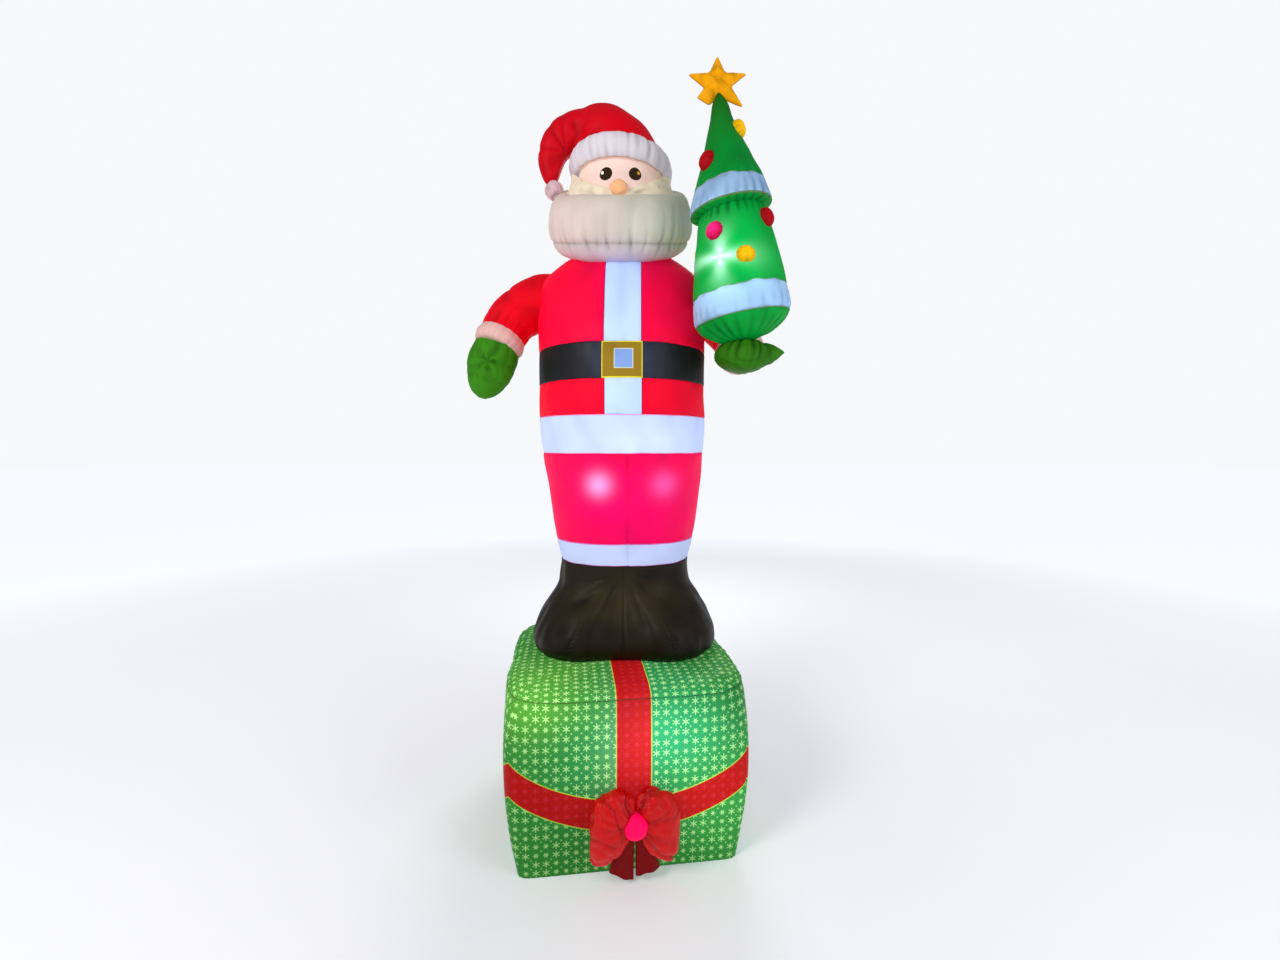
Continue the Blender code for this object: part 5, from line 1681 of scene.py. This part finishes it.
class Nodes(Tree):
    """A geometry node tree with named inputs."""

    def __init__(self, name, **kinds):
        self.tree = bpy.data.node_groups.new(name, "GeometryNodeTree")
        sockets = {"Line": "NodeSocketGeometry", **kinds}
        self.names = {}
        for label, kind in sockets.items():
            socket = self.tree.interface.new_socket(label, in_out="INPUT", socket_type=kind)
            self.names[label] = socket.identifier
        self.tree.interface.new_socket("Result", in_out="OUTPUT", socket_type="NodeSocketGeometry")
        self.start = self.tree.nodes.new("NodeGroupInput").outputs
        self.end = self.tree.nodes.new("NodeGroupOutput").inputs

    def add(self, kind, inputs, **settings):
        return super().add(kind, inputs, **settings).outputs

    def finish(self, geometry):
        """Smooth shading and the cloth's material, at the end of a tree."""
        smooth = self.add("GeometryNodeSetShadeSmooth", {"Geometry": geometry})["Geometry"]
        dressed = self.add("GeometryNodeSetMaterial", {"Geometry": smooth, "Material": self.start["Cloth"]})
        self.tree.links.new(dressed["Geometry"], self.end[0])


NUMBER, CLOTH = "NodeSocketFloat", "NodeSocketMaterial"
thread = Nodes("stitches along a line", Step=NUMBER, Length=NUMBER, Thickness=NUMBER, Cloth=CLOTH)
curve = thread.add("GeometryNodeMeshToCurve", {"Mesh": thread.start["Line"]})["Curve"]
dots_along = thread.add(
    "GeometryNodeCurveToPoints", {"Curve": curve, "Length": thread.start["Step"]}, mode="LENGTH"
)
grain_of_rice = thread.add("GeometryNodeMeshUVSphere", {"Segments": 8, "Rings": 6, "Radius": 0.5})["Mesh"]
luck_in_length = thread.add("FunctionNodeRandomValue", {2: 0.8, 3: 1.15, "Seed": 7}, data_type="FLOAT")[1]
long = thread.add("ShaderNodeMath", {0: thread.start["Length"], 1: luck_in_length}, operation="MULTIPLY")[0]
size_of_stitch = thread.add(
    "ShaderNodeCombineXYZ", {"X": thread.start["Thickness"], "Y": thread.start["Thickness"], "Z": long}
)[0]
laid = thread.add(
    "GeometryNodeInstanceOnPoints",
    {
        "Points": dots_along["Points"],
        "Instance": grain_of_rice,
        "Rotation": dots_along["Rotation"],
        "Scale": size_of_stitch,
    },
)["Instances"]
real = thread.add("GeometryNodeRealizeInstances", {"Geometry": laid})["Geometry"]
thread.finish(real)

cord = Nodes("cord along a line", Thickness=NUMBER, Cloth=CLOTH)
curve = cord.add("GeometryNodeMeshToCurve", {"Mesh": cord.start["Line"]})["Curve"]
half_thick = cord.add("ShaderNodeMath", {0: cord.start["Thickness"], 1: 0.5}, operation="MULTIPLY")[0]
ring_profile = cord.add(
    "GeometryNodeCurvePrimitiveCircle", {"Resolution": 8, "Radius": half_thick}, mode="RADIUS"
)["Curve"]
swept = cord.add(
    "GeometryNodeCurveToMesh", {"Curve": curve, "Profile Curve": ring_profile, "Fill Caps": True}
)["Mesh"]
cord.finish(swept)


def lay(name, points, nodes, slot, closed=False, **values):
    """Bake a node tree's work along a line of points, as its own piece."""
    count = len(points)
    edges = [(k, k + 1) for k in range(count - 1)] + ([(count - 1, 0)] if closed else [])
    mesh = bpy.data.meshes.new(name + "-line")
    mesh.from_pydata(np.asarray(points).tolist(), edges, [])
    thing = bpy.data.objects.new(name, mesh)
    scene.collection.objects.link(thing)
    step = thing.modifiers.new("nodes", "NODES")
    step.node_group = nodes.tree
    for label, value in values.items():
        step[nodes.names[label]] = value
    baked = bpy.data.meshes.new_from_object(thing.evaluated_get(bpy.context.evaluated_depsgraph_get()))
    thing.modifiers.remove(step)
    thing.data = baked
    hand_over(thing, None)
    return thing


def row_of(thing, rows, sides, row=None, side=None):
    """One row or one column of the grid that a shell was made from."""
    grid = places_of(thing)[: rows * sides].reshape(rows, sides, 3)
    return grid[row] if side is None else grid[:, side]


def on_surface(thing, start, end, count):
    """The shell's points nearest to a straight line."""
    line = np.array(start) + (np.array(end) - start) * np.linspace(0, 1, count)[:, None]
    where = places_of(thing)
    return np.array([where[np.argmin(((where - p) ** 2).sum(1))] for p in line])


def thread_cloth(name, colour):
    cloth = Cloth(name)
    cloth.plug(colour, cloth.shader.inputs["Base Color"])
    # Thread and piping glow faintly in their own colour: painted light.
    cloth.plug(colour, cloth.shader.inputs["Emission Color"])
    cloth.shader.inputs["Emission Strength"].default_value = 0.15
    cloth.shader.inputs["Roughness"].default_value = 0.7
    return cloth.material


print("node trees", thread.tree.name, "and", cord.tree.name)

# %% Lay the thread and the cord
small = {"Step": 0.009, "Length": 0.0062, "Thickness": 0.0016}
lay(
    "box-top-stitches",
    row_of(box, *box_grid.shape[:2], row=89),
    thread,
    "box_print",
    True,
    Cloth=thread_cloth("dark_thread", linear(18, 54, 14)),
    **small,
)
beard_rows = beard_points.shape[:2]
lay(
    "beard-stitches",
    row_of(beard, *beard_rows, side=round(0.9 * beard_rows[1]))[12:-12],
    thread,
    "beard_cloth",
    Cloth=thread_cloth("grey_thread", linear(140, 132, 122)),
    **small,
)
black_thread = thread_cloth("black_thread", linear(60, 54, 40))
for side, thing, name in ((-1, boots[0], "right"), (1, boots[1], "left")):
    line = on_surface(thing, *boot_row(side), 40)
    lay(f"boot-{name}-stitches", line, thread, "boot_black", Cloth=black_thread, **small)
brim_size = brim_points.shape[:2]
lay(
    "brim-face-piping",
    row_of(brim, *brim_size, side=1),
    cord,
    "trim_white",
    True,
    Thickness=0.004,
    Cloth=thread_cloth("beige_piping", linear(176, 142, 116)),
)
lay(
    "brim-hat-piping",
    row_of(brim, *brim_size, side=28),
    cord,
    "trim_white",
    True,
    Thickness=0.0022,
    Cloth=thread_cloth("pink_piping", linear(214, 110, 140)),
)
lay(
    "star-piping",
    row_of(star, 60, len(outline), row=30),
    cord,
    "star_amber",
    True,
    Thickness=0.0026,
    Cloth=thread_cloth("brown_piping", linear(120, 70, 6)),
)
green_piping = thread_cloth("green_piping", linear(84, 120, 60))
around_tree = np.linspace(0, 2 * np.pi, 240, endpoint=False)
for name, stations, share in (("low", LOWER_TIER, 0.0825), ("high", UPPER_TIER, 0.5265)):
    lay(
        f"tree-{name}-piping",
        tree_place(stations, share + 0 * around_tree, around_tree, -0.001),
        cord,
        "tree_green",
        True,
        Thickness=0.0036,
        Cloth=green_piping,
    )
print("thread and cord laid, pieces", len(finished))
